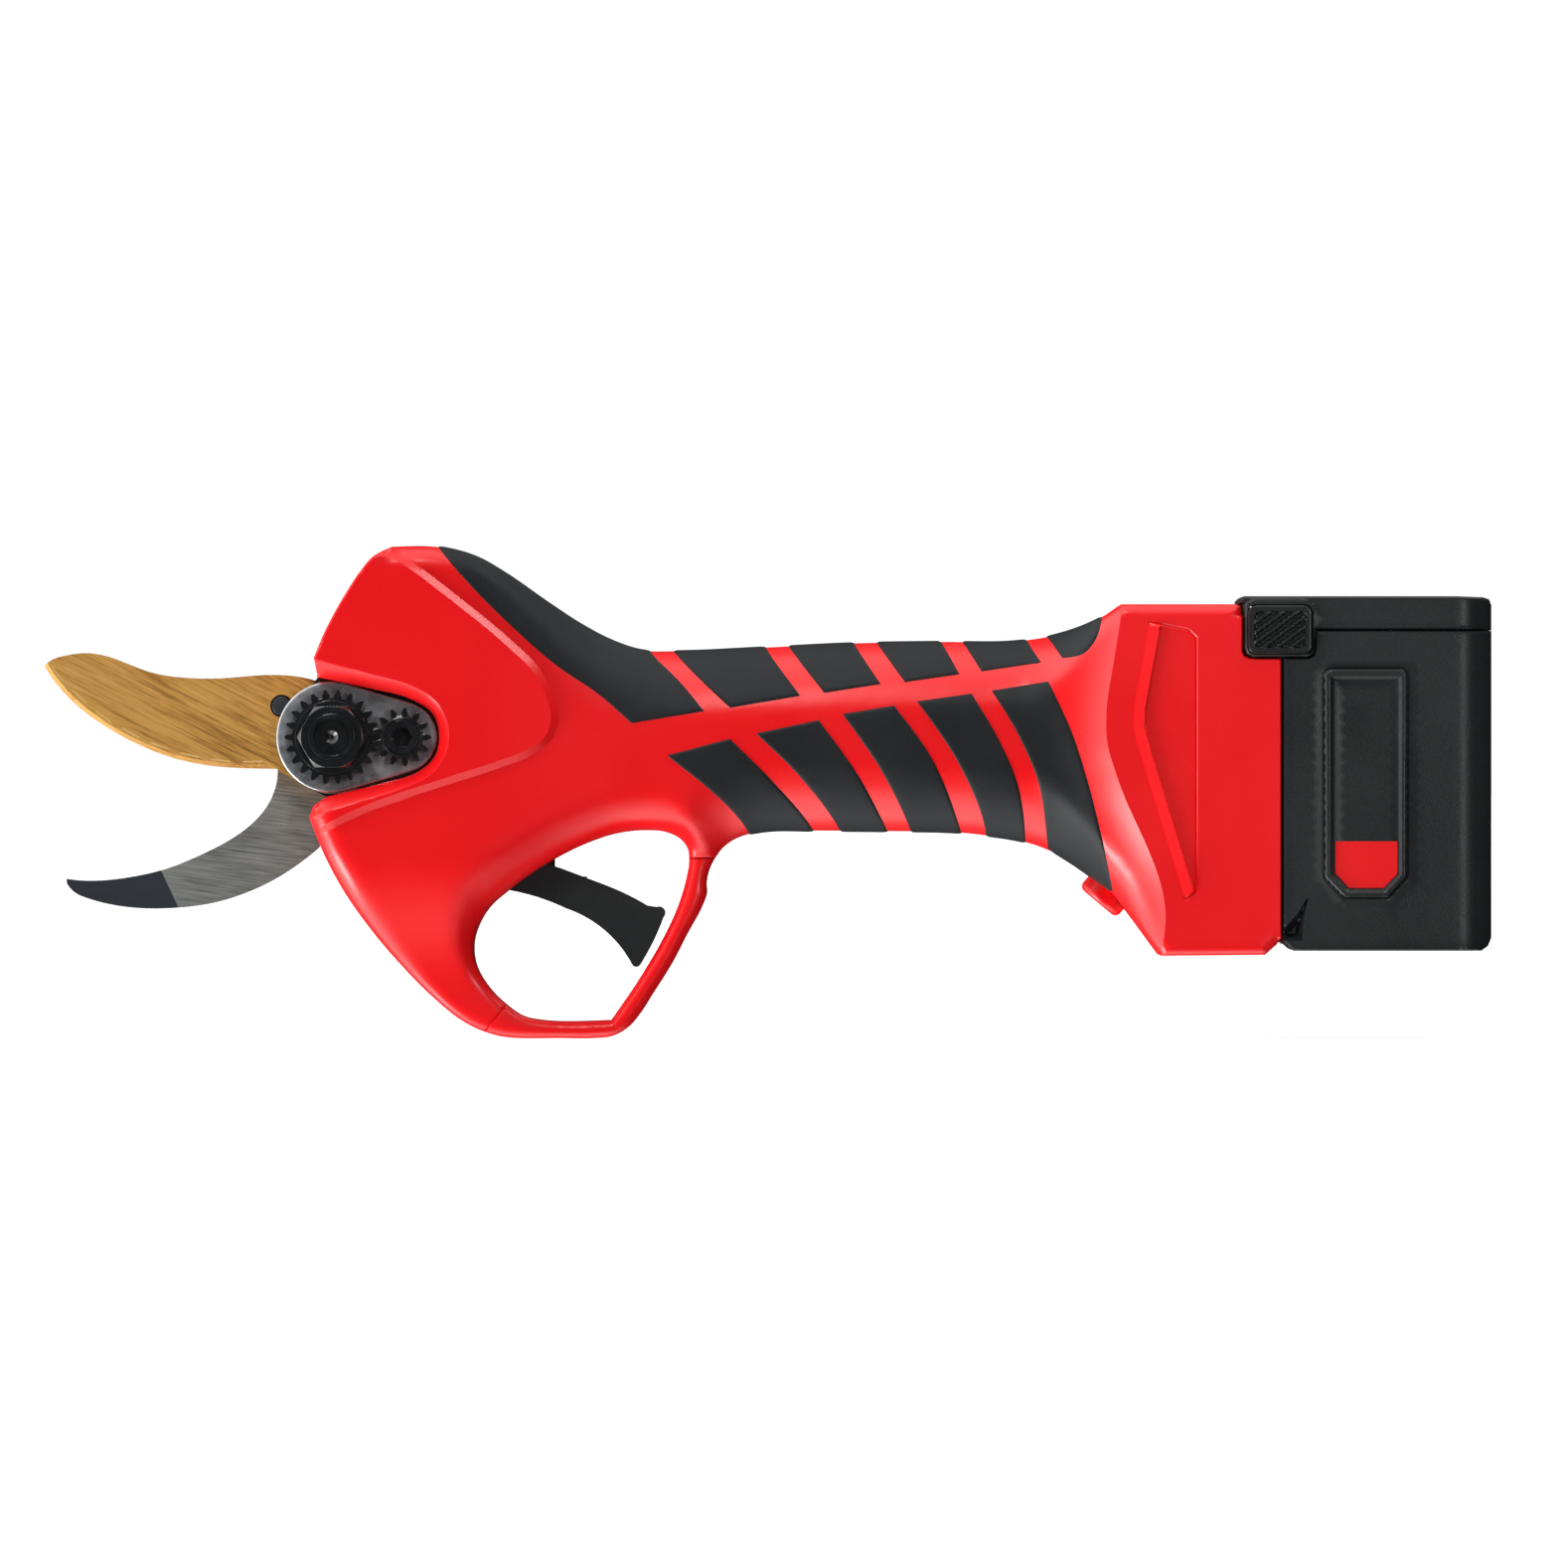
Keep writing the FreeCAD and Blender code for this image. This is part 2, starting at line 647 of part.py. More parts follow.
def bevel_pinion():
    """The pinion in one piece with the gearbox output shaft."""
    wires = []
    for rho in (BEVEL_IN, BEVEL_OUT):
        k = rho / BEVEL_OUT
        points = gear_points(PINION_TEETH, BEVEL_MODULE, 4.85, 2.7, 0.22, phase=22.5)
        wires.append([V(rho, k * u, k * v) for u, v in points])
    teeth = loft_polygons(*wires)
    neck = rod_x(BEVEL_OUT - 0.1, BEVEL_OUT + 0.4, 2.6)
    collar = rod_x(BEVEL_OUT + 0.3, BEVEL_OUT + 3.0, 5.2)
    return teeth.fuse([neck, collar, rod_x(BEVEL_OUT + 0.3, CARRIER[1], SHAFT_R - 0.03)])


add("cutting_blade", cutting_blade())
add("counter_blade", counter_blade())
add("drive_sector", drive_sector())
add("sector_rivets", *[rod_y(*polar(RIVET_AT, a), RIVET_R, BLADE_LEFT_Y, -5.6) for a in RIVET_ANGLES])
add("blade_pin", rod_y(*BLADE_PIN, BLADE_PIN_R, BLADE_LEFT_Y, BLADE_RIGHT_Y))
add("pivot_bush", ring_y(0, 0, BUSH_R, SHAFT_R, BLADE_LEFT_Y, BLADE_RIGHT_Y))
add("bevel_pinion", bevel_pinion())


def pivot_bolt():
    head = hex_y(0, 0, HEX_FLATS, FRAME_RIGHT_Y, FRAME_RIGHT_Y + 5.3)
    washer = rod_y(0, 0, 7.4, FRAME_RIGHT_Y, FRAME_RIGHT_Y + 0.8)
    shank = rod_y(0, 0, BOLT_R, BOLT_END_Y, FRAME_RIGHT_Y + 1)
    dimple = Part.makeCone(1.4, 0.2, 0.9, V(0, BOLT_END_Y, 0), V(0, 1, 0))
    return head.fuse([washer, shank]).cut(dimple)


def adjusting_nut():
    points = gear_points(NUT_TEETH, ADJUST_MODULE, 10.15, 8.5, 0.16)
    teeth = spur_y(points, 0, 0, TEETH_Y, CHEEK_Y - SLIP)
    seat = rod_y(0, 0, 7.8, TEETH_Y - 0.5, TEETH_Y)
    top = Part.makeCone(6.6, 10.0, 4.0, V(0, HEX_Y, 0), V(0, 1, 0))
    collar = ring_y(0, 0, 4.9, SHAFT_R, HEX_Y - 0.25, HEX_Y + 0.1)
    nut = teeth.fuse([seat, hex_y(0, 0, HEX_FLATS, HEX_Y, TEETH_Y).common(top), collar])
    return nut.cut(rod_y(0, 0, SHAFT_R, -30, 0))


def locking_pinion():
    points = gear_points(LOCK_TEETH, ADJUST_MODULE, 6.3, 4.65, 0.16)
    teeth = spur_y(points, LOCK_X, 0, TEETH_Y, CHEEK_Y - SLIP)
    hub = rod_y(LOCK_X, 0, 4.2, TEETH_Y - 0.5, TEETH_Y)
    return teeth.fuse(hub).cut(rod_y(LOCK_X, 0, 2.53, -30, 0))


def locking_screw():
    head = rod_y(LOCK_X, 0, 3.6, TEETH_Y - 1.7, TEETH_Y - 0.55)
    shank = rod_y(LOCK_X, 0, 2.5, TEETH_Y - 1, BLADE_LEFT_Y - 0.4)
    return head.fuse(shank).cut(hex_y(LOCK_X, 0, 4.0, TEETH_Y - 2, TEETH_Y + 0.4))


def cheek_plate():
    plate = slab(hull_of_circles(0, CHEEK_R, LOCK_X, LOCK_R), CHEEK_Y, BLADE_LEFT_Y - SLIP)
    return plate.cut([rod_y(0, 0, SHAFT_R, -30, 0), rod_y(LOCK_X, 0, 2.53, -30, 0)])


add("pivot_bolt", pivot_bolt())
add("adjusting_nut", adjusting_nut())
add("locking_pinion", locking_pinion())
add("locking_screw", locking_screw())
add("cheek_plate", cheek_plate())


def head_frame():
    """Cast frame inside the head: pivot boss, counter-blade lug and gearbox flange."""
    x, z = COUNTER_SCREW
    left = COUNTER_RIGHT_Y + SLIP
    hub = rod_y(0, 0, 11.6, left, FRAME_RIGHT_Y)
    outline = path((-6.0, -9.0), (x - 4.9, z), ((x, z - 5.2), (x + 5.2, z)), (6.5, -9.0))
    lug = slab(outline, left, FRAME_RIGHT_Y)
    web = box(0, FLANGE[0] + 1, -1.2, FRAME_RIGHT_Y, -11.4, 11.4)
    throat = rod_x(11.9, FLANGE[0], 6.2)
    flange = rod_x(*FLANGE, FLANGE_R)
    frame = hub.fuse([lug, web.cut(throat), flange])
    bores = [
        rod_y(0, 0, SHAFT_R, -10, 20), rod_y(x, z, 2.02, -10, 20),
        rod_x(FLANGE[0] - 1, FLANGE[1] + 1, BEARING_R),
    ]
    return frame.cut(bores)


def counter_screw():
    x, z = COUNTER_SCREW
    head = rod_y(x, z, 3.5, FRAME_RIGHT_Y, FRAME_RIGHT_Y + 4.0)
    shank = rod_y(x, z, 2.0, BLADE_RIGHT_Y + 0.1, FRAME_RIGHT_Y + 1)
    return head.fuse(shank).cut(hex_y(x, z, 3.0, FRAME_RIGHT_Y + 2, FRAME_RIGHT_Y + 5))


add("head_frame", head_frame())
add("counter_blade_screw", counter_screw())


# ---------------------------------------------------------------- gearbox and motor
def ring_gear():
    teeth = gear_points(RING_TEETH, PLANET_MODULE, *RING_RADII, -0.1, steps=2)
    hole = spur_x(teeth, GEARBOX_FRONT + 4, GEARBOX_REAR + 1)
    front = rod_x(GEARBOX_FRONT - 1, GEARBOX_FRONT + 4.5, 12.3)
    return rod_x(GEARBOX_FRONT, GEARBOX_REAR, GEARBOX_R).cut([hole, front])


def planet_places():
    return [polar(PLANET_ORBIT, 360 * k / PLANETS) for k in range(PLANETS)]


def planet_gear(y, z):
    teeth = gear_points(PLANET_TEETH, PLANET_MODULE, *PLANET_RADII, 0.1)
    return spur_x(teeth, *PLANET_X, y, z).cut(rod_x(PLANET_X[0] - 1, PLANET_X[1] + 1, 1.53, y, z))


def motor_can():
    can = ring_x(MOTOR_FRONT, MOTOR_REAR - 3.1, MOTOR_R, MOTOR_R - 1.0)
    front = ring_x(MOTOR_FRONT, MOTOR_FRONT + 1.2, MOTOR_R - 0.5, 3.2)
    return can.fuse(front)


def motor_rotor():
    """Shaft, laminated armature, commutator and the sun gear of the gearbox."""
    shaft = rod_x(PLANET_X[1], MOTOR_REAR + 1.0, MOTOR_SHAFT_R)
    core = rod_x(MOTOR_FRONT + 9, MOTOR_REAR - 16, 9.0)
    slots = [
        rod_x(MOTOR_FRONT + 8, MOTOR_REAR - 15, 1.1, *polar(8.6, 72 * k)) for k in range(5)
    ]
    windings = ring_x(MOTOR_FRONT + 5, MOTOR_REAR - 12, 7.0, MOTOR_SHAFT_R - 0.5)
    commutator = rod_x(MOTOR_REAR - 12, MOTOR_REAR - 6, 4.2)
    sun = spur_x(gear_points(SUN_TEETH, PLANET_MODULE, *SUN_RADII, 0.1), *PLANET_X)
    return sun.fuse([shaft, core.cut(slots), windings, commutator])


def motor_magnets():
    tube = ring_x(MOTOR_FRONT + 7, MOTOR_REAR - 14, MOTOR_R - 1.02, 9.6)
    gap = box(MOTOR_FRONT, MOTOR_REAR, -20, 20, -3, 3)
    return tube.cut(gap)


def motor_end_cap():
    plate = ring_x(MOTOR_REAR - 3, MOTOR_REAR, MOTOR_R, 3.02)
    brushes = [box(MOTOR_REAR - 10.5, MOTOR_REAR - 3, y, y + 2.4, -1.6, 1.6) for y in (-6.7, 4.3)]
    tabs = [box(MOTOR_REAR - 1, MOTOR_REAR + 3.5, y, y + 0.8, -1.5, 1.5) for y in (-7.4, 6.6)]
    return plate.fuse([*brushes, *tabs])


add("output_bush", ring_x(FLANGE[0], FLANGE[1] + 0.4, BEARING_R, SHAFT_R))
add("ring_gear", ring_gear())
add("planet_carrier", ring_x(*CARRIER, 11.2, SHAFT_R - 0.03).cut([
    rod_x(*CARRIER, 1.5, y, z) for y, z in planet_places()
]))
add("planet_pins", *[rod_x(CARRIER[0], PLANET_X[1] + 0.4, 1.5, y, z) for y, z in planet_places()])
for k, (y, z) in enumerate(planet_places(), 1):
    add(f"planet_gear_{k}", planet_gear(y, z))
add("gearbox_plate", ring_x(GEARBOX_REAR + 0.1, MOTOR_FRONT - 0.1, GEARBOX_R, 4.5))
add("motor_can", motor_can())
add("motor_magnets", motor_magnets())
add("motor_rotor", motor_rotor())
add("motor_end_cap", motor_end_cap())
add("motor_bushes",
    ring_x(MOTOR_FRONT, MOTOR_FRONT + 3.5, 3.2, MOTOR_SHAFT_R + 0.03),
    ring_x(MOTOR_REAR - 3, MOTOR_REAR, 3.02, MOTOR_SHAFT_R + 0.03))


# ---------------------------------------------------------------- trigger
def trigger_lever():
    x, z = TRIGGER_PIVOT
    wire = path(
        (x + 2.6, z + 3.4),
        (39.6, -25.4),
        (48.6, -28.1),
        (57.9, -31.6),
        ((62.6, -33.6), (67.4, -36.2)),
        (69.4, -36.5),
        ((71.1, -37.1), (70.9, -38.7)),
        ((68.8, -43.7), (66.1, -48.6)),
        ((65.2, -49.3), (64.2, -48.8)),
        ((58.6, -41.7), (50.1, -36.8)),
        ((44.4, -34.5), (38.1, -32.9)),
        (x - 1.5, z - 3.9),
    )
    half = TRIGGER_HALF_WIDTH
    lever = slab(wire, -half, half).fuse([rod_y(x, z, 4.2, -half, half), rod_z(44, 0, 3.6, -29, -25.2)])
    return lever.cut([rod_y(x, z, TRIGGER_PIN_R + 0.03, -20, 20), rod_z(52.5, 0, 2.0, -31.5, -25)])


def coil_spring(x, y, z0, z1, radius, wire, turns):
    """Round-wire spring standing on z0, its ends a wire's radius inside the stated height."""
    pitch = (z1 - z0 - 2 * wire) / turns
    helix = Part.makeHelix(pitch, z1 - z0 - 2 * wire, radius)
    helix.translate(V(x, y, z0 + wire))
    section = Part.Wire(Part.makeCircle(wire, V(x + radius, y, z0 + wire), V(0, 1, 0)))
    return Part.Wire(helix.Edges).makePipeShell([section], True, True)


add("trigger_lever", trigger_lever())
add("trigger_pin", rod_y(*TRIGGER_PIVOT, TRIGGER_PIN_R, -11.9, 11.9))
add("trigger_spring", coil_spring(44, 0, -25.1, -15.1, 3.0, 0.4, 5))
add("trigger_magnet", rod_z(52.5, 0, 1.95, -31.4, -29.9))
add("trigger_sensor", box(53.4, 62.6, -4, 4, -17.4, -16.4).fuse(box(54.2, 57.2, -2, 2, -16.4, -15.2)))


# ---------------------------------------------------------------- electronics
def tube(points, radius):
    """A wire that runs smoothly through the points."""
    curve = Part.BSplineCurve()
    curve.interpolate([V(*q) for q in points])
    direction = curve.tangent(curve.FirstParameter)[0]
    section = Part.Wire(Part.makeCircle(radius, V(*points[0]), direction))
    return Part.Wire(curve.toShape()).makePipeShell([section], True, True)


board = box(*BOARD_X, 0, 1.6, -12, 12)
add("control_board", board)
add("board_capacitors", *[
    rod_x(124, 138, 4.0, -4.1, z) for z in (-5.5, 5.5)
])
add("board_transistors", *[
    box(x, x + 6.0, 1.65, 4.0, z, z + 5.0) for x in (118.5, 128.5, 138.5) for z in (-8.5, 3.5)
])
add("board_processor", box(142, 149, -1.2, -0.05, -3.5, 3.5))
add("motor_wires", *[
    tube([(100.0, y, z), (106, y * 0.8, z), (112, -2.6, z), (118, -1.5, z)], 0.9)
    for y, z in ((-4.6, -3.2), (4.6, 3.2))
])
add("battery_wires", *[
    tube([(157, -1.4, z), (163, -2.4, z), (168, -1.0, z - 3), (171.8, 0, z - 5)], 0.9)
    for z in (-4.0, 2.0)
])

add("terminal_block", box(172, 181, -9, 9, -22, 6).cut([
    box(171, 182, -3.5, 3.5, z - 0.45, z + 0.45) for z in BLADE_Z
]))
add("terminal_blades", *[box(173, 191.5, -3.4, 3.4, z - 0.4, z + 0.4) for z in BLADE_Z])


# ---------------------------------------------------------------- power button
def power_button():
    cap = along_button(-4, BUTTON_PROUD, BUTTON_R)
    rim = [e for e in cap.Edges if (e.Vertexes[0].Point - at(BUTTON_POINT)).dot(BUTTON_OUT) > 1]
    rim = [e for e in rim if len(e.Vertexes) == 1]
    return cap.makeFillet(1.4, rim).fuse(along_button(-5.5, -2.6, BUTTON_R + 1.0))


add("power_button", power_button())
add("power_switch", along_button(-12.0, -8.2, 3.4).fuse(along_button(-8.3, -7.1, 1.5)))


# ---------------------------------------------------------------- battery
def battery_wire():
    return path(
        (NOSE_X, NOSE_Z + 0.1),
        (NOSE_X, 29.4),
        (NOSE_X + 0.7, BATTERY_TOP),
        (240.5, 30.0),
        ((246.4, 29.4), (REAR_X, 27.0)),
        (REAR_X, -43.6),
        ((247.6, -45.1), (246.2, BATTERY_BOTTOM)),
        (205.7, BATTERY_BOTTOM),
        (BATTERY_FRONT, -43.6),
        (BATTERY_FRONT, NOSE_Z + 0.1),
    )


def rounded_plan(inset):
    """The battery seen from above: its two rear corners are round."""
    front, rear, deep = NOSE_X - 1, REAR_X - inset, SKIRT_DEPTH - inset
    r = REAR_ROUND - inset
    k = r * (1 - math.sqrt(0.5))
    edges = [
        Part.LineSegment(V(front, -deep, -60), V(rear - r, -deep, -60)),
        Part.Arc(V(rear - r, -deep, -60), V(rear - k, -deep + k, -60), V(rear, -deep + r, -60)),
        Part.LineSegment(V(rear, -deep + r, -60), V(rear, deep - r, -60)),
        Part.Arc(V(rear, deep - r, -60), V(rear - k, deep - k, -60), V(rear - r, deep, -60)),
        Part.LineSegment(V(rear - r, deep, -60), V(front, deep, -60)),
        Part.LineSegment(V(front, deep, -60), V(front, -deep, -60)),
    ]
    face = Part.Face(Part.Wire([e.toShape() for e in edges]))
    return face.extrude(V(0, 0, 120))


def battery_block(inset):
    return inset_slab(battery_wire(), inset, SKIRT_DEPTH - inset).common(rounded_plan(inset))


def lid_space(drop):
    """The part of the battery that belongs to the lid."""
    front = box(NOSE_X - 2, LATCH_BOX[1] + 0.9 + drop, -30, 30, NOSE_Z - 1, 40)
    return front.fuse(box(NOSE_X - 2, REAR_X + 2, -30, 30, LID_Z - drop, 40))


def latch_frame(grow, y0, y1):
    x0, x1, z0, z1 = LATCH_BOX
    return box(x0 - grow, x1 + grow, y0, y1, z0 - grow, z1 + grow)


def battery_case():
    block = battery_block(0).cut(battery_block(CASE_WALL))
    case = block.cut(lid_space(0.15))
    x, half, low, high = TONGUE
    tongue = box(x, BATTERY_FRONT + 1, -half, half, low, high)
    hollow = box(x + 1.8, BATTERY_FRONT + 3, -half + 1.8, half - 1.8, low + 1.8, high - 1.8)
    slots = [box(x - 1, x + 3, -3.7, 3.7, z - 0.9, z + 0.9) for z in BLADE_Z]
    case = case.fuse(tongue).cut([hollow, *slots])
    posts = [rod_z(a, b, 2.6, BATTERY_BOTTOM + 1, 22.3) for a, b in BATTERY_SCREWS]
    holes = [rod_z(a, b, 1.27, 8, 24) for a, b in BATTERY_SCREWS]
    return case.fuse(posts).cut(holes)


def battery_lid():
    shell = battery_block(0).cut(battery_block(CASE_WALL))
    posts = [rod_z(a, b, 2.6, LID_Z, 29.0) for a, b in BATTERY_SCREWS]
    lid = shell.common(lid_space(0)).fuse(posts)
    rims = []
    for y0, y1 in ((-SKIRT_DEPTH - 0.6, -SKIRT_DEPTH + 1), (SKIRT_DEPTH - 1, SKIRT_DEPTH + 0.6)):
        rims.append(latch_frame(0.9, y0, y1))
    cuts = [latch_frame(0.15, -40, 40)]
    for a, b in BATTERY_SCREWS:
        cuts += [rod_z(a, b, 1.27, 20, 40), rod_z(a, b, 2.4, 26.5, 40)]
    divider = box(NOSE_X + 1.5, 206.0, -1, 1, NOSE_Z + 1, 29)
    return lid.fuse(rims).cut(cuts).fuse(divider)


def latch_button(side):
    y0, y1 = sorted((side * (SKIRT_DEPTH - CASE_WALL - 1.3), side * (SKIRT_DEPTH + LATCH_PROUD)))
    plate = latch_frame(0, y0, y1)
    f0, f1 = sorted((side * (SKIRT_DEPTH - CASE_WALL - 1.3), side * (SKIRT_DEPTH - CASE_WALL - 0.1)))
    x0, x1, z0, z1 = LATCH_BOX
    flange = box(x0 + 0.2, x1 + 1.2, f0, f1, z0 + 0.2, z1 + 0.9)
    r0, r1 = sorted((side * (SKIRT_DEPTH + LATCH_PROUD - 0.2), side * (SKIRT_DEPTH + LATCH_PROUD + 0.4)))
    ribs = [box(x0 + 1.5, x1 - 1.5, r0, r1, z, z + 0.9) for z in (z0 + 1.4, z0 + 3.3, z0 + 5.2, z0 + 7.1)]
    return plate.fuse([flange, *ribs])


def across_spring(side):
    x0, x1, z0, z1 = LATCH_BOX
    spring = coil_spring(0, 0, 1.1, SKIRT_DEPTH - CASE_WALL - 1.4, 2.6, 0.35, 6)
    spring.rotate(V(0, 0, 0), V(1, 0, 0), -90 * side)
    spring.translate(V((x0 + x1) / 2, 0, (z0 + z1) / 2))
    return spring


add("battery_case", battery_case())
add("battery_lid", battery_lid())
for side, word in ((-1, "left"), (1, "right")):
    add(f"latch_button_{word}", latch_button(side))
    add(f"latch_spring_{word}", across_spring(side))

cell_low = BATTERY_BOTTOM + CASE_WALL + 1.0
for x, y in [(x, y) for x in CELL_X for y in CELL_Y]:
    cell = rod_z(x, y, CELL_R, cell_low, cell_low + CELL_LENGTH)
    add("battery_cells", cell.makeFillet(0.8, [e for e in cell.Edges if e.Length < 60]))
cell_high = cell_low + CELL_LENGTH
add("cell_strips",
    *[box(CELL_X[0] - 4, CELL_X[1] + 4, y - 4, y + 4, cell_high + 0.05, cell_high + 0.3) for y in CELL_Y],
    box(CELL_X[0] - 4, CELL_X[0] + 4, CELL_Y[0] - 4, CELL_Y[1] + 4, cell_low - 0.3, cell_low - 0.05),
    box(CELL_X[1] - 4, CELL_X[1] + 4, CELL_Y[0] - 4, CELL_Y[1] + 4, cell_low - 0.3, cell_low - 0.05))
add("battery_board", box(212.5, 241.0, -13, 13, 24.6, 26.2))
add("battery_contacts", *[
    box(184.5, 192.5, -3.2, 3.2, z + a, z + a + 0.5) for z in BLADE_Z for a in (-0.95, 0.45)
])
add("battery_screws", *[
    rod_z(a, b, 2.3, 26.5, 28.2).fuse(rod_z(a, b, 1.25, 9, 27)) for a, b in BATTERY_SCREWS
])


# ---------------------------------------------------------------- housing screws
def housing_screw(x, z):
    head = rod_y(x, z, SCREW_HEAD_R, 8.0, 9.9)
    shank = rod_y(x, z, SCREW_R, -8.0, 8.1)
    return head.fuse(shank).cut(hex_y(x, z, 2.2, 8.9, 10.5))


add("housing_screws", *[housing_screw(x, z) for x, z in SCREW_PLACES])

# ---------------------------------------------------------------- to the row frame, and out
shift = V(-(TIP_X + REAR_X) / 2, 0, -FLOOR_Z)
os.makedirs("parts", exist_ok=True)
for name, solids in nodes.items():
    shape = solids[0] if len(solids) == 1 else Part.makeCompound(solids)
    shape = shape.copy()
    shape.translate(shift)
    shape.exportStep(f"parts/{name}.step")
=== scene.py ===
"""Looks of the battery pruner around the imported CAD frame. Lengths are written in millimetres in the
tool's own axes (origin at the blade pivot) and turned into the row frame, in metres, by place()."""

import json
import math

import bmesh
import bpy
import numpy as np
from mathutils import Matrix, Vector
from mathutils.geometry import delaunay_2d_cdt


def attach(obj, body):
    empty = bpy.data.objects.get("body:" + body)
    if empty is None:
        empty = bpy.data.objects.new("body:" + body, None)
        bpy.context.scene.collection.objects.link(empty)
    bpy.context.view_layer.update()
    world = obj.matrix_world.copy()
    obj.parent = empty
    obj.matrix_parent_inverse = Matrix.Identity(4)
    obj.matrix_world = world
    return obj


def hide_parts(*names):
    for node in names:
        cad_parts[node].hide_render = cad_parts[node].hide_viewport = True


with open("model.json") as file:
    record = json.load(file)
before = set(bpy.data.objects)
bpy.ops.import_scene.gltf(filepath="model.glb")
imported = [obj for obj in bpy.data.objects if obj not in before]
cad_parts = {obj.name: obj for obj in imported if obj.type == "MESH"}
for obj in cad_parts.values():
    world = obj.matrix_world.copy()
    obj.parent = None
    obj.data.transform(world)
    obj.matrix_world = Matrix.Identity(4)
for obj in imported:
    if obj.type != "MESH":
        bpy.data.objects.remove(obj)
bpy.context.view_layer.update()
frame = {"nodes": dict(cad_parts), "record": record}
nodes = frame["nodes"]

PIVOT = Vector((-0.09325, 0.0, 0.0645))  # the tool's own origin, in the row frame


def place(points):
    """Tool millimetres to row metres."""
    return np.asarray(points, float) / 1000.0 + np.array(PIVOT)


# ------------------------------------------------------------------ outlines
# Points are (x, z). The hood, top, rear and under stretches run clockwise and meet end to end.
C = "corner"  # the third entry of a point where the line turns sharply


def line_through(points, spacing=0.8, closed=False):
    """A smooth line through the points, evenly sampled. A point given as (x, z, C) is a corner."""
    flat = [np.array(p[:2], float) for p in points]
    corner = [len(p) > 2 for p in points]
    count = len(flat)
    out = []
    for i in range(count if closed else count - 1):
        j = (i + 1) % count
        a, b = flat[i], flat[j]
        before = flat[(i - 1) % count] if closed or i > 0 else a
        after = flat[(j + 1) % count] if closed or j < count - 1 else b
        span = np.linalg.norm(b - a)
        t0 = (b - a) / 2 if corner[i] or (before == a).all() else tangent(before, a, b) * span
        t1 = (b - a) / 2 if corner[j] or (after == b).all() else tangent(a, b, after) * span
        if corner[i] and corner[j]:
            t0 = t1 = b - a
        steps = max(1, round(span / spacing))
        for k in range(steps):
            t = k / steps
            h = (2 * t**3 - 3 * t**2 + 1, t**3 - 2 * t**2 + t, 3 * t**2 - 2 * t**3, t**3 - t**2)
            out.append(h[0] * a + h[1] * t0 + h[2] * b + h[3] * t1)
    if not closed:
        out.append(flat[-1])
    return np.array(out)


def straight(points, spacing=0.8, closed=False):
    """An evenly sampled polyline with straight sides."""
    return line_through([(*p[:2], C) for p in points], spacing, closed)


def tangent(a, b, c):
    """Unit direction of a smooth line at b."""
    before, after = b - a, c - b
    u = before / max(np.linalg.norm(before), 1e-9) ** 1.5 + after / max(np.linalg.norm(after), 1e-9) ** 1.5
    return u / max(np.linalg.norm(u), 1e-9)


HOOD = [
    (-3.8, 16.9, C), (-2.2, 20.9), (0.2, 25.8), (3.3, 31.2), (6.3, 35.7), (8.8, 38.6), (12.8, 40.8, C),
]
TOP = [
    (12.8, 40.8, C), (20.8, 40.9), (25.2, 40.3), (31.1, 38.5), (36.8, 35.3), (46.2, 28.8), (53.4, 24.1),
    (60.2, 20.6), (66.2, 18.7), (72.9, 18.5), (92.7, 19.3), (111.7, 20.2), (130.7, 20.5), (146.0, 20.6),
    (153.5, 21.6), (160.6, 23.7), (165.6, 26.1), (169.0, 28.4, C),
]
REAR = [
    (169.0, 28.4), (193.4, 28.4), (194.4, 28.0), (194.8, 27.0), (194.8, 18.3), (195.3, 17.2), (196.6, 16.8),
    (203.1, 16.8), (203.1, -42.9), (202.1, -44.4), (199.6, -46.6), (177.4, -46.8),
]
UNDER = [
    (177.4, -46.8, C), (170.2, -37.2), (166.7, -32.9), (162.3, -29.6), (154.3, -24.6), (148.8, -22.6),
    (140.0, -21.1), (134.0, -20.5), (118.9, -20.2), (102.9, -20.1), (94.0, -20.1), (89.4, -20.8),
    (86.3, -21.9), (83.9, -23.6), (82.1, -25.9), (80.8, -28.5), (80.2, -31.4), (80.3, -33.4),
    (79.6, -35.6), (75.9, -42.6), (72.8, -48.6), (68.4, -55.6), (66.1, -59.2), (63.4, -62.3),
    (60.2, -64.1), (56.0, -64.6), (48.2, -64.6), (39.9, -64.6), (35.8, -64.2), (32.3, -63.2),
    (28.3, -61.3), (20.7, -55.2), (14.3, -48.6), (9.6, -43.1), (2.6, -33.3), (-2.1, -24.4),
    (-4.9, -17.2, C), (-4.0, -14.9, C),
]
OPENING = [
    (30.3, -44.0), (31.5, -40.0), (33.7, -36.5), (37.0, -33.5), (42.0, -29.7), (47.7, -26.1),
    (54.5, -22.8), (60.9, -20.7), (67.2, -20.0), (71.5, -20.4), (74.6, -21.9), (76.1, -23.9),
    (76.4, -26.6), (75.8, -30.3), (73.8, -36.8), (70.6, -43.6), (65.3, -52.5), (59.6, -60.8, C),
    (44.6, -60.7), (40.9, -59.9), (37.3, -57.5), (33.1, -53.2), (30.7, -48.7),
]
LIP_OUTER = [(-3.8, 16.9, C), (8.0, 13.6), (17.0, 11.0), (22.4, 7.6), (25.1, 1.4), (24.3, -4.0),
             (21.2, -8.1), (16.8, -10.4), (6.8, -13.7), (-4.9, -17.2, C)]
LIP_INNER = [(-3.0, 12.8, C), (8.2, 10.4), (17.2, 8.0), (21.6, 4.9), (23.0, 0.1), (21.9, -4.3),
             (18.6, -7.3), (10.6, -9.9), (-1.2, -12.8, C)]
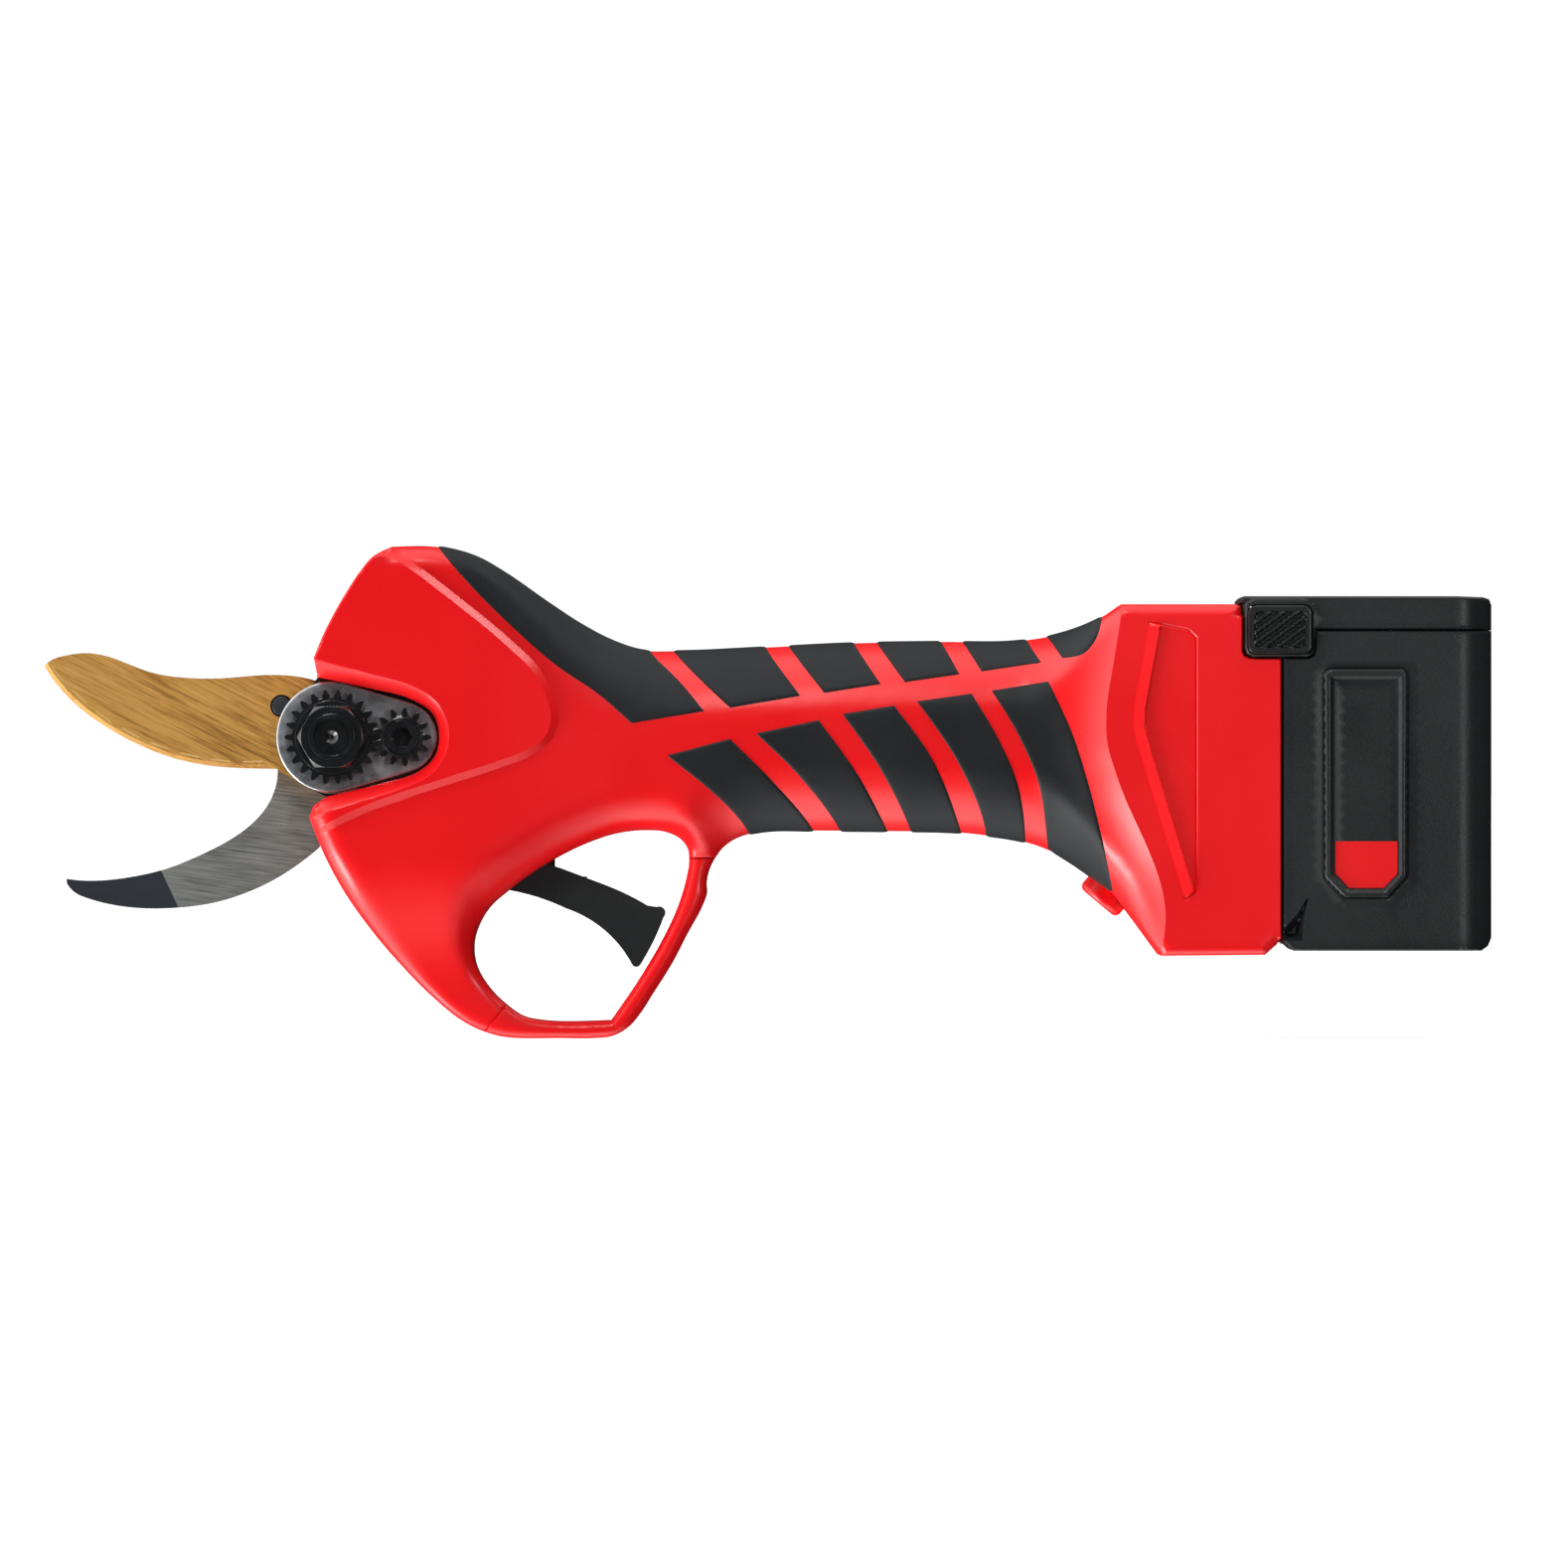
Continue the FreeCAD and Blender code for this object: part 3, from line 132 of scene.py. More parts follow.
CREST = [
    (-6.0, 17.0, C), (2.0, 34.0, C), (9.3, 38.4), (12.2, 38.8), (14.6, 37.4), (25.2, 29.6), (38.4, 18.7),
    (43.2, 13.9), (46.0, 8.6), (46.9, 4.0), (45.9, 0.4), (42.4, -2.4), (35.4, -5.2), (25.2, -8.5),
    (6.1, -15.1), (-2.6, -19.3, C), (-8.0, -17.6, C),
]
FACET = [(169.2, 28.3), (167.4, 17.0), (165.7, 5.6), (165.9, -1.4), (167.8, -8.0), (178.3, -37.4),
         (177.5, -46.7)]
LABEL_LEFT = [(182.4, -34.7, C), (172.8, -3.3), (171.4, 2.0), (171.6, 6.7), (174.9, 24.6, C)]
LABEL_REST = [(174.9, 24.6, C), (183.2, 22.9), (184.9, 21.2), (184.9, -33.2, C), (182.4, -34.7, C)]
SEAMS = [[(32.3, -63.2), (37.3, -57.5)], [(76.4, -25.9), (82.1, -25.9)]]
PADS = [
    [(20.8, 43.0, C), (28.1, 34.1), (39.9, 22.3), (47.9, 15.4), (57.5, 8.8), (64.1, 2.9, C),
     (79.8, 5.5, C), (74.6, 11.8), (68.3, 18.2), (65.0, 23.0, C), (50.0, 43.0, C)],
    [(70.4, 22.0, C), (73.2, 18.2), (85.2, 6.2, C), (100.4, 8.8, C), (92.8, 19.5), (91.0, 23.0, C)],
    [(95.6, 23.0, C), (97.6, 19.7), (105.4, 9.4, C), (117.6, 11.3, C), (111.9, 20.2), (110.0, 24.0, C)],
    [(114.6, 24.0, C), (116.6, 20.4), (122.7, 11.7, C), (134.5, 13.4, C), (130.4, 20.8), (128.4, 24.0, C)],
    [(133.0, 24.0, C), (134.9, 20.8), (139.1, 14.0, C), (152.0, 15.9, C), (148.9, 21.0), (147.0, 25.0, C)],
    [(151.0, 25.0, C), (153.2, 21.6), (156.4, 16.8, C), (160.8, 17.7), (163.4, 20.6), (164.9, 25.5),
     (165.2, 30.0, C)],
    [(71.7, -3.9, C), (85.2, -0.3, C), (94.5, -9.6), (103.0, -19.8), (105.0, -24.0, C), (90.6, -24.0, C),
     (89.2, -20.6)],
    [(90.7, 0.8, C), (104.2, 3.7, C), (112.6, -8.0), (119.0, -19.9), (121.0, -24.0, C), (110.6, -24.0, C),
     (108.7, -19.9), (100.3, -8.7)],
    [(109.2, 5.0, C), (120.4, 6.8, C), (128.4, -4.4), (134.9, -20.3), (136.0, -24.0, C), (125.3, -24.0, C),
     (124.0, -20.2), (117.2, -6.6)],
    [(125.2, 7.7, C), (137.0, 9.4, C), (143.0, -0.9), (146.9, -10.2), (148.8, -22.5), (149.0, -26.0, C),
     (140.3, -24.6, C), (140.1, -20.8), (133.9, -5.3)],
    [(141.2, 10.0, C), (153.4, 12.0, C), (158.6, 0.6), (161.4, -8.0), (165.0, -22.0), (167.4, -33.2, C),
     (162.7, -31.8, C), (154.3, -24.6), (153.4, -23.9, C), (151.3, -10.2), (146.7, 0.8)],
]
BUTTON_SPOT = np.array((166.3, -33.1))  # middle of the power button's hole
BUTTON_TURN = math.radians(50)
BUTTON_ALONG = np.array((math.sin(BUTTON_TURN), -math.cos(BUTTON_TURN)))  # along the underside


# ------------------------------------------------------------------ plane geometry
def inside(points, polygon):
    """True for the points inside the closed polygon."""
    x, z = points[:, 0], points[:, 1]
    hit = np.zeros(len(points), bool)
    for (x0, z0), (x1, z1) in zip(polygon, np.roll(polygon, -1, 0)):
        if z0 == z1:
            continue
        cross = ((z0 > z) != (z1 > z)) & (x < (x1 - x0) * (z - z0) / (z1 - z0) + x0)
        hit ^= cross
    return hit


def distance(points, polyline, closed=False):
    """Distance from each point to the polyline."""
    a = polyline if closed else polyline[:-1]
    b = np.roll(polyline, -1, 0) if closed else polyline[1:]
    best = np.full(len(points), 1e9)
    for start in range(0, len(points), 4000):
        p = points[start:start + 4000, None, :]
        ab = (b - a)[None]
        t = ((p - a[None]) * ab).sum(2) / np.maximum((ab**2).sum(2), 1e-12)
        near = a[None] + np.clip(t, 0, 1)[:, :, None] * ab
        best[start:start + 4000] = np.sqrt(((p - near) ** 2).sum(2)).min(1)
    return best


def step(low, high, value):
    """A smooth change from 0 at low to 1 at high."""
    t = np.clip((value - low) / (high - low), 0, 1)
    return t * t * (3 - 2 * t)


def mix(a, b, t):
    """The value a share t of the way from a to b."""
    return a + (b - a) * t


def round_off(t):
    """Quarter ellipse: 0 at the edge, 1 from one radius inwards."""
    t = np.clip(t, 0, 1)
    return np.sqrt(1 - (1 - t) ** 2)


hood, top, under = (line_through(p) for p in (HOOD, TOP, UNDER))
rear = straight(REAR)
opening = line_through(OPENING, closed=True)
lip_outer, lip_inner = line_through(LIP_OUTER), line_through(LIP_INNER)
crest = line_through(CREST, closed=True)
facet = line_through(FACET)
label_left, label_rest = straight(LABEL_LEFT, 0.7), straight(LABEL_REST, 0.7)
label = np.vstack([label_left[:-1], label_rest[:-1]])
pads = [line_through(p, spacing=0.7, closed=True) for p in PADS]
seams = [line_through(p, spacing=0.5) for p in SEAMS]

FINE_REACH = (0.03, 0.12, 0.3, 0.6, 1.0, 1.6, 2.4, 3.4, 4.6)  # mesh rows beside a rounded edge
CREST_RISE, CREST_SLOPE = 1.3, 1.55  # the raised side panel's height and the width of its border
LABEL_RISE, LABEL_RAMP = 0.8, 2.3  # the label field's height and the width of its ramp
GROOVE_DEPTH, GROOVE_HALF = 0.3, 0.35  # the seams' and label's parting grooves
LIP_FALL = 3.3  # how far the adjuster window's lip slopes in


def arm_share(p):
    """0 over the head and grip, 1 on the thin arms of the trigger guard."""
    t = step(45, 62, p[:, 0])
    high, low = mix(-24.0, -17.5, t), mix(-56.0, -26.0, t)
    return step(high, low, p[:, 1]) * (1 - step(92, 110, p[:, 0]))


def shape_of(p):
    """Local flat half width, half width at the outline, edge radius and share of the guard's arm."""
    x, z = p[:, 0], p[:, 1]
    ahead = x - np.interp(-z, -facet[:, 1], facet[:, 0])
    flare = np.clip((ahead + 19) / 19, 0, 1)
    grip = step(26, 74, x)
    skirt = step(0, 1, flare)
    deep = mix(19.0, 17.5, grip) + 6.5 * flare**2.2
    rim = mix(mix(13.0, 0.0, grip), 20.5, skirt)
    radius = mix(mix(5.5, 19.6, grip), 3.4, skirt)
    arm = arm_share(p)
    return mix(deep, 8.0, arm), mix(rim, 5.2, arm), mix(radius, 2.9, arm), arm


def half_width(p, side):
    """How far the housing's surface stands from the middle plane at each (x, z)."""
    deep, rim, radius, arm = shape_of(p)
    edge = np.minimum(distance(p, top), distance(p, under[:-1]))
    wide = rim + (deep - rim) * round_off(edge / radius)
    near = distance(p, opening, True)
    inner = mix(7.2, 5.2, arm)
    ease = mix(12.0, 2.9, arm)
    wide_open = inner + (deep - inner) * round_off(near / ease)
    blend = np.clip(0.5 + (wide_open - wide) / 3.0, 0, 1)
    wide = mix(wide_open, wide, blend) - 0.75 * blend * (1 - blend)
    back = distance(p, rear)
    rim_back = np.where(p[:, 1] < -43, 2.4, np.where(p[:, 1] > 26, 3.2, 0.8))
    rounded_back = deep - rim_back + rim_back * round_off(back / rim_back)
    wide = np.where(p[:, 0] > 168, np.minimum(wide, rounded_back), wide)
    wide = np.minimum(wide, deep - 1.0 + 1.0 * round_off(distance(p, hood) / 1.0))
    # raised side panel with a bevelled border
    on_panel = inside(p, crest)
    away = np.where(on_panel, 0.0, distance(p, crest, True))
    wide = wide + CREST_RISE * np.clip(1 - away / CREST_SLOPE, 0, 1)
    if side == "left":
        do, di = distance(p, lip_outer), distance(p, lip_inner)
        lips = np.vstack([lip_outer, under[-1:], lip_inner[::-1]])
        in_lip = inside(p, lips) | (di < 1e-3)
        wide = np.where(in_lip, wide - LIP_FALL * (do / np.maximum(do + di, 1e-6)) ** 1.15, wide)
    # label field: a ramp that rises from its front side, then a sharp step down
    in_label = inside(p, label)
    from_front, from_rest = distance(p, label_left), distance(p, label_rest)
    rising = LABEL_RISE * from_front / LABEL_RAMP
    falling = LABEL_RISE - 0.95 * np.clip((from_front - LABEL_RAMP) / 0.3, 0, 1)
    ramp_up = np.where(from_front < LABEL_RAMP, rising, falling)
    wide = wide + np.where(in_label, ramp_up * np.clip(from_rest / 0.6, 0, 1), 0)
    wide = wide - GROOVE_DEPTH * np.clip(1 - from_rest / GROOVE_HALF, 0, 1)
    for seam in seams:
        wide = wide - GROOVE_DEPTH * np.clip(1 - distance(p, seam) / GROOVE_HALF, 0, 1)
    return np.maximum(wide, 0.0)


# ------------------------------------------------------------------ meshing
def offset(polyline, by, closed=False):
    """The polyline moved sideways, to its left for a positive distance."""
    if closed:
        d = np.roll(polyline, -1, 0) - np.roll(polyline, 1, 0)
    else:
        d = np.gradient(polyline, axis=0)
    n = np.stack([-d[:, 1], d[:, 0]], 1)
    n /= np.maximum(np.linalg.norm(n, axis=1, keepdims=True), 1e-9)
    return polyline + n * by


def thin_out(points, keep, gap):
    """The points that lie at least gap from every kept point, found on a coarse grid."""
    cells = {}
    for x, z in keep:
        cells.setdefault((int(x // gap), int(z // gap)), []).append((x, z))
    chosen = []
    for x, z in points:
        i, j = int(x // gap), int(z // gap)
        near = any(
            (x - a) ** 2 + (z - b) ** 2 < gap * gap
            for u in (i - 1, i, i + 1) for v in (j - 1, j, j + 1) for a, b in cells.get((u, v), ())
        )
        if not near:
            chosen.append((x, z))
            cells.setdefault((i, j), []).append((x, z))
    return np.array(chosen).reshape(-1, 2)


def triangulate(loops, lines, extra, grid=1.3):
    """Triangles over the area inside the first loop and outside the others, with the given lines as
    edges and the extra points and a triangular grid as further corners."""
    area = loops[0]
    low, high = area.min(0), area.max(0)
    rows = np.arange(low[1], high[1], grid * 0.866)
    mesh = [
        (x + (k % 2) * grid / 2, z) for k, z in enumerate(rows) for x in np.arange(low[0], high[0], grid)
    ]
    fixed = np.vstack([*loops, *lines])
    extra = extra[inside(extra, area)]
    extra = thin_out(extra, fixed, 0.16)
    mesh = np.array(mesh)
    mesh = mesh[inside(mesh, area)]
    mesh = thin_out(mesh, np.vstack([fixed, extra]), 0.75 * grid)
    verts, edges = [], []
    for loop in loops:
        base = len(verts)
        verts += [tuple(v) for v in loop]
        edges += [(base + i, base + (i + 1) % len(loop)) for i in range(len(loop))]
    for poly in lines:
        base = len(verts)
        verts += [tuple(v) for v in poly]
        edges += [(base + i, base + i + 1) for i in range(len(poly) - 1)]
    verts += [tuple(v) for v in extra] + [tuple(v) for v in mesh]
    out = delaunay_2d_cdt([Vector(v) for v in verts], edges, [], 0, 1e-4)
    points = np.array([tuple(v) for v in out[0]])
    tris = np.array([tuple(t) for t in out[2]])
    middle = points[tris].mean(1)
    keep = inside(middle, area)
    for hole in loops[1:]:
        keep &= ~inside(middle, hole)
    tris = tris[keep]
    a, b, c = (points[tris[:, k]] for k in range(3))
    turn = (b[:, 0] - a[:, 0]) * (c[:, 1] - a[:, 1]) - (b[:, 1] - a[:, 1]) * (c[:, 0] - a[:, 0])
    tris = tris[np.abs(turn) > 1e-7]
    turn = turn[np.abs(turn) > 1e-7]
    tris[turn < 0] = tris[turn < 0][:, ::-1]
    return points, tris


def object_from(name, verts, faces, smooth=35):
    """A new object, shaded smooth except over edges sharper than the given angle."""
    mesh = bpy.data.meshes.new(name)
    mesh.from_pydata([tuple(v) for v in verts], [], [tuple(int(i) for i in f) for f in faces])
    mesh.update()
    item = bpy.data.objects.new(name, mesh)
    bpy.context.scene.collection.objects.link(item)
    mesh.shade_smooth()
    mesh.set_sharp_from_angle(angle=math.radians(smooth))
    return item


def applied(item, smooth=35):
    """The object with its modifiers made real."""
    graph = bpy.context.evaluated_depsgraph_get()
    mesh = bpy.data.meshes.new_from_object(item.evaluated_get(graph))
    item.modifiers.clear()
    item.data = mesh
    mesh.shade_smooth()
    mesh.set_sharp_from_angle(angle=math.radians(smooth))
    return item


def shell_surface(points, tris, height, y_in, side):
    """Vertices and faces of a side surface and of the wall from its border down to y_in."""
    sign = -1.0 if side == "left" else 1.0
    verts = [np.stack([points[:, 0], sign * height, points[:, 1]], 1)]
    faces = [tuple(t) for t in tris]
    owner = {}
    for a, b, c in tris:
        for edge in ((a, b), (b, c), (c, a)):
            owner[edge] = owner.get(edge, 0) + 1
    border = [e for e in owner if (e[1], e[0]) not in owner]
    used = sorted({v for e in border for v in e})
    deep = height[used] - y_in[used]
    foot = {v: v for v in used}
    extra = []
    for v, d in zip(used, deep):
        if d > 0.04:
            foot[v] = len(points) + len(extra)
            extra.append((points[v, 0], sign * y_in[v], points[v, 1]))
    for a, b in border:
        quad = [b, a]
        if foot[a] != a:
            quad.append(foot[a])
        if foot[b] != b:
            quad.append(foot[b])
        if len(quad) > 2:
            faces.append(tuple(quad))
    if side == "right":
        faces = [f[::-1] for f in faces]
    if extra:
        verts.append(np.array(extra))
    return np.vstack(verts), faces


def half_shell(name, loops, lines, extra, height, y_in, side, thick, grid=1.3):
    """A closed shell: a side surface, its wall, and the same again inside it."""
    points, tris = triangulate(loops, lines, extra, grid)
    h = height(points)
    verts, faces = shell_surface(points, tris, h, y_in(points), side)
    item = object_from(name, place(verts), faces)
    if thick:
        solid = item.modifiers.new("wall", "SOLIDIFY")
        solid.thickness = thick / 1000
        solid.offset = -1
        item = applied(item)
    return item, points, tris, verts, faces


# ------------------------------------------------------------------ the red housing
def tail_of(polyline, point, after):
    """The part of a polyline before or after its nearest vertex to a point, ending at the point."""
    k = int(np.argmin(((polyline - point) ** 2).sum(1)))
    return np.vstack([[point], polyline[k + 1:]]) if after else np.vstack([polyline[:k], [point]])


front_out, front_in = np.array(SEAMS[0][0]), np.array(SEAMS[0][1])
back_in, back_out = np.array(SEAMS[1][0]), np.array(SEAMS[1][1])
k_in = int(np.argmin(((opening - front_in) ** 2).sum(1)))
ring = np.roll(opening, -k_in, 0)  # from the front seam round through the top to the rear seam
k_back = int(np.argmin(((ring - back_in) ** 2).sum(1)))
arch, bow_inner = ring[1:k_back], ring[k_back + 1:]
under_rear, under_rest = tail_of(under, back_out, False), tail_of(under, back_out, True)
under_bow, under_front = tail_of(under_rest, front_out, False), tail_of(under_rest, front_out, True)
HALF = {
    side: np.vstack([
        hood[:-1], top[:-1], rear[:-1], under_rear, [back_in], arch[::-1], [front_in], under_front,
        *([lip_inner[::-1]] if side == "left" else []),
    ])
    for side in ("left", "right")
}
BOW = np.vstack([under_bow, [front_in], bow_inner[::-1], [back_in]])


def rings(polyline, closed, sides, reach):
    """Copies of a line moved to one or both sides, as extra mesh points."""
    return [offset(polyline, s * r, closed) for s in sides for r in reach]


def housing_points(side):
    """Mesh rows along every line where the housing's surface bends."""
    extra = rings(top, False, (-1,), FINE_REACH)
    extra += rings(hood, False, (-1,), (0.15, 0.4, 0.8, 1.4, 2.0))
    extra += rings(under, False, (-1,), FINE_REACH)
    extra += rings(opening, True, (1, -1), FINE_REACH)
    extra += rings(rear, False, (-1,), (0.1, 0.3, 0.6, 1.0, 1.8, 3.2))
    extra += rings(crest, True, (1, -1), (0.18, 0.5, 0.9, 1.3, 1.55, 1.75, 2.4))
    extra += rings(facet, False, (1, -1), (0.3, 0.8, 1.6, 2.6))
    extra += rings(label_left, False, (1, -1), (0.3, 1.2, 2.0, 2.3, 2.45, 2.6, 2.9))
    extra += rings(label_rest, False, (1, -1), (0.18, 0.35, 0.6, 0.9))
    for pad in pads:
        extra += rings(pad, True, (1, -1), (0.3, 0.75))
    for seam in seams:
        extra += rings(seam, False, (1, -1), (0.35,))
    if side == "left":
        extra += rings(lip_outer, False, (1, -1), (0.3, 0.8, 1.6, 2.4))
    return np.vstack(extra)


def housing_depth(side):
    """How far the wall goes in from each border point: nearly to the middle, less where parts come out."""
    def depth(p):
        x, z = p[:, 0], p[:, 1]
        d = np.full(len(p), 0.05)
        mouth = (x < 12) & (z > -26.5) & (z < 16.95)
        d[mouth] = 12.2 if side == "left" else 8.6
        slot = (z < -25.4) & (z > -35.6) & (x > 34) & (x < 48.5)
        d[slot] = 6.8
        d[(x > 194.7) & (z > -42)] = 15.5
        along = (p - BUTTON_SPOT) @ BUTTON_ALONG
        d[(np.abs(along) < 5.45) & (np.linalg.norm(p - BUTTON_SPOT, axis=1) < 7)] = 5.45
        for (cx, cz), r, y in RIGHT_HOLES if side == "right" else ():
            d[np.abs(np.linalg.norm(p - (cx, cz), axis=1) - r) < 1e-3] = y
        return d
    return depth


SCREWS = [(11, 33.5), (51, 20), (13, -33.5), (24.5, -51.5), (107, 11.5), (107, -11.5), (173.5, 21.5),
          (182.5, -41.8)]
# the right half's holes: (centre, radius, how far from the middle plane their wall ends)
RIGHT_HOLES = [((0.0, 0.0), 9.0, 8.6), ((-1.5, -17.5), 3.9, 8.6)] + [(s, 3.1, 9.9) for s in SCREWS]


def circle(center, radius, count=40):
    """The points of a circle."""
    turn = np.arange(count) * 2 * math.pi / count
    return np.stack([center[0] + radius * np.cos(turn), center[1] + radius * np.sin(turn)], 1)


WALL = 1.3


def housing_half(side):
    """One half of the housing, with its windows and holes."""
    lines = [crest, facet, label_left, label_rest, *pads, *seams]
    loops = [HALF[side]]
    if side == "left":
        lines.append(lip_outer)
    else:
        loops += [circle(c, r) for c, r, _ in RIGHT_HOLES]
    return half_shell(
        "housing_" + side, loops, lines, housing_points(side), lambda p: half_width(p, side),
        housing_depth(side), side, WALL,
    )


PAD_RISE, PAD_ROUND, PAD_SINK = 0.32, 0.75, 0.6  # height, border radius and depth in the housing


def pad_pieces(side, points, tris, verts, faces):
    """The rubber patches: the housing's own surface, raised a little, with round borders."""
    normal = np.zeros_like(verts)
    for f in faces:
        a, b, c = verts[f[0]], verts[f[1]], verts[f[2]]
        n = np.cross(b - a, c - a)
        for v in f:
            normal[v] += n
    normal /= np.maximum(np.linalg.norm(normal, axis=1, keepdims=True), 1e-12)
    middle = points[tris].mean(1)
    all_verts, all_faces = [], []
    for pad in pads:
        mine = tris[inside(middle, pad)]
        if side == "right":
            mine = mine[:, ::-1]
        used, flat = np.unique(mine, return_inverse=True)
        mine = flat.reshape(mine.shape)
        base = verts[used]
        rise = PAD_RISE * round_off(distance(points[used], pad, True) / PAD_ROUND) - 0.05
        outer = base + normal[used] * rise[:, None]
        inner = base - normal[used] * PAD_SINK
        start = sum(len(v) for v in all_verts)
        count = len(used)
        owner = {}
        for a, b, c in mine:
            for edge in ((a, b), (b, c), (c, a)):
                owner[edge] = True
        all_verts += [outer, inner]
        all_faces += [tuple(start + t) for t in mine]
        all_faces += [tuple(start + count + t[::-1]) for t in mine]
        for a, b in owner:
            if (b, a) not in owner:
                all_faces.append((start + b, start + a, start + count + a, start + count + b))
    return object_from("grip_overmold_" + side, place(np.vstack(all_verts)), all_faces)


housing, rubber = {}, {}
for side in ("left", "right"):
    housing[side], points, tris, verts, faces = housing_half(side)
    rubber[side] = pad_pieces(side, points, tris, verts, faces)


def guard_bow():
    """The thin bow of the trigger guard, one closed piece across the middle plane."""
    extra = np.vstack(
        rings(under, False, (-1,), (0.12, 0.3, 0.6, 1.0, 1.6, 2.4))
        + rings(opening, True, (1, -1), (0.12, 0.3, 0.6, 1.0, 1.6, 2.4))
        + rings(seams[0], False, (1, -1), (0.35,)) + rings(seams[1], False, (1, -1), (0.35,))
    )
    points, tris = triangulate([BOW], [], extra, 1.0)
    h = half_width(points, "right")
    count = len(points)
    verts = np.vstack([
        np.stack([points[:, 0], -h, points[:, 1]], 1), np.stack([points[:, 0], h, points[:, 1]], 1),
    ])
    faces = [tuple(t) for t in tris] + [tuple(count + t[::-1]) for t in tris]
    owner = {(t[i], t[(i + 1) % 3]) for t in tris for i in range(3)}
    faces += [(b, a, count + a, count + b) for a, b in owner if (b, a) not in owner]
    return object_from("trigger_guard_bow", place(verts), faces)


bow = guard_bow()


# ------------------------------------------------------------------ battery
REAR_ROUND, REAR_X, BATTERY_HALF = 7.5, 248.25, 24.0
FRAME_RISE, PANEL_SINK, NOTCH_DEPTH = 0.45, 0.4, 3.0
MIDDLE, OPEN_FRONT = 0.05, 15.4  # where the walls end beside the middle plane and at the open front
CASE = [
    (203.5, 16.9), (209.2, 16.9), (210.1, 17.5), (210.35, 18.5), (210.35, 22.75), (248.25, 22.75),
    (248.25, -42.9), (247.4, -44.7), (245.9, -45.7), (205.8, -45.7), (203.5, -43.7),
]
LID = [
    (195.2, 18.8), (195.7, 17.6), (197.1, 17.05), (208.7, 17.05), (209.8, 17.6), (210.2, 18.7),
    (210.2, 22.9), (248.25, 22.9), (248.25, 28.3), (247.6, 29.5), (246.2, 29.9), (240.5, 30.1),
    (195.1, 30.1), (194.3, 29.4), (194.3, 28.7), (195.2, 28.5),
][::-1]
LATCH = (195.9, 209.7, 17.65, 28.2)
FIELD = [(213.4, 14.6), (229.0, 14.6), (230.1, 13.4), (230.0, -30.0, C), (225.9, -34.4, C),
         (216.6, -34.4, C), (212.4, -30.0, C), (212.3, 13.4)]
PANEL = [(213.9, 12.7, C), (228.5, 12.7, C), (228.5, -29.4, C), (225.2, -32.9, C), (217.3, -32.9, C),
         (213.9, -29.4, C)]
NOTCH = [(209.0, -33.6), (208.0, -38.6), (207.6, -43.6), (203.0, -43.6), (203.0, -41.6), (206.6, -37.6)]

case_line, lid_line = straight(CASE, 1.0, True), straight(LID, 1.0, True)
field_line, panel_line = straight(FIELD, 0.7, True), straight(PANEL, 0.7, True)
notch_line = straight(NOTCH, 0.7, True)


def rounded_box(x0, x1, z0, z1, r, count=6):
    """A rectangle with round corners, anticlockwise."""
    out = []
    corners = ((x1 - r, z0 + r, -90), (x1 - r, z1 - r, 0), (x0 + r, z1 - r, 90), (x0 + r, z0 + r, 180))
    for cx, cz, start in corners:
        for k in range(count + 1):
            a = math.radians(start + 90 * k / count)
            out.append((cx + r * math.cos(a), cz + r * math.sin(a)))
    return np.array(out)


def plan_width(x):
    """Half width of the battery, whose two rear corners are round."""
    u = np.clip((x - (REAR_X - REAR_ROUND)) / REAR_ROUND, 0, 1)
    return BATTERY_HALF - REAR_ROUND * (1 - np.sqrt(1 - u * u))


def edged(h, p, outline, radius):
    """The surface with its border rounded over by a small radius."""
    return h - radius * (1 - round_off(distance(p, outline, True) / radius))


def case_width(side):
    """The battery case's surface: on the left a raised frame round a sunk label panel, and on both
    sides the finger notch at the front bottom corner."""
    def width(p):
        h = edged(plan_width(p[:, 0]), p, case_line, 0.7)
        if side == "left":
            to_field, to_panel = distance(p, field_line, True), distance(p, panel_line, True)
            in_field, in_panel = inside(p, field_line), inside(p, panel_line)
            frame_rise = np.minimum(np.minimum(to_field, 0.9 * to_panel + 0.1), FRAME_RISE)
            h = h + np.where(in_field & ~in_panel, frame_rise, 0)
            h = h - np.where(~in_field, 0.35 * np.clip(1 - to_field / 0.6, 0, 1), 0)
            h = h - np.where(in_panel, np.minimum(to_panel * 0.9, PANEL_SINK), 0)
        d = distance(p, notch_line, True)
        h = h - np.where(inside(p, notch_line), NOTCH_DEPTH * np.clip(d / 1.6, 0, 1) ** 0.7, 0)
        return np.maximum(h, 0.1)
    return width


def lid_width(p):
    """The lid's surface, with a low rim round the latch button's hole."""
    h = edged(plan_width(p[:, 0]), p, lid_line, 0.8)
    rim = 1.1 - distance(p, latch_hole, True)
    return np.maximum(h + 0.25 * np.clip(rim / 0.35, 0, 1), 0.1)


def case_depth(p):
    """The case is open to the front."""
    return np.where(p[:, 0] < 204, OPEN_FRONT, MIDDLE)


def lid_depth(p):
    """The lid is open below and to the front, and its latch hole goes through the wall."""
    x, z = p[:, 0], p[:, 1]
    deep = np.full(len(p), MIDDLE)
    deep[(z < 28.3) & (x < 211) | (z < 22.95) & (x < 247)] = OPEN_FRONT
    hole = np.abs(distance(p, latch_hole, True)) < 1e-3
    deep[hole] = 21.2
    return deep


def latch_outline(inset, radius):
    """The latch button's outline, moved in or out."""
    x0, x1, z0, z1 = LATCH
    return rounded_box(x0 + inset, x1 - inset, z0 + inset, z1 - inset, radius)


latch_hole = latch_outline(-0.15, 1.9)
latch_pad = latch_outline(0.05, 1.8)
latch_inner = latch_outline(1.3, 1.1)
RIB_TURN, RIB_PITCH = math.radians(36), 1.75


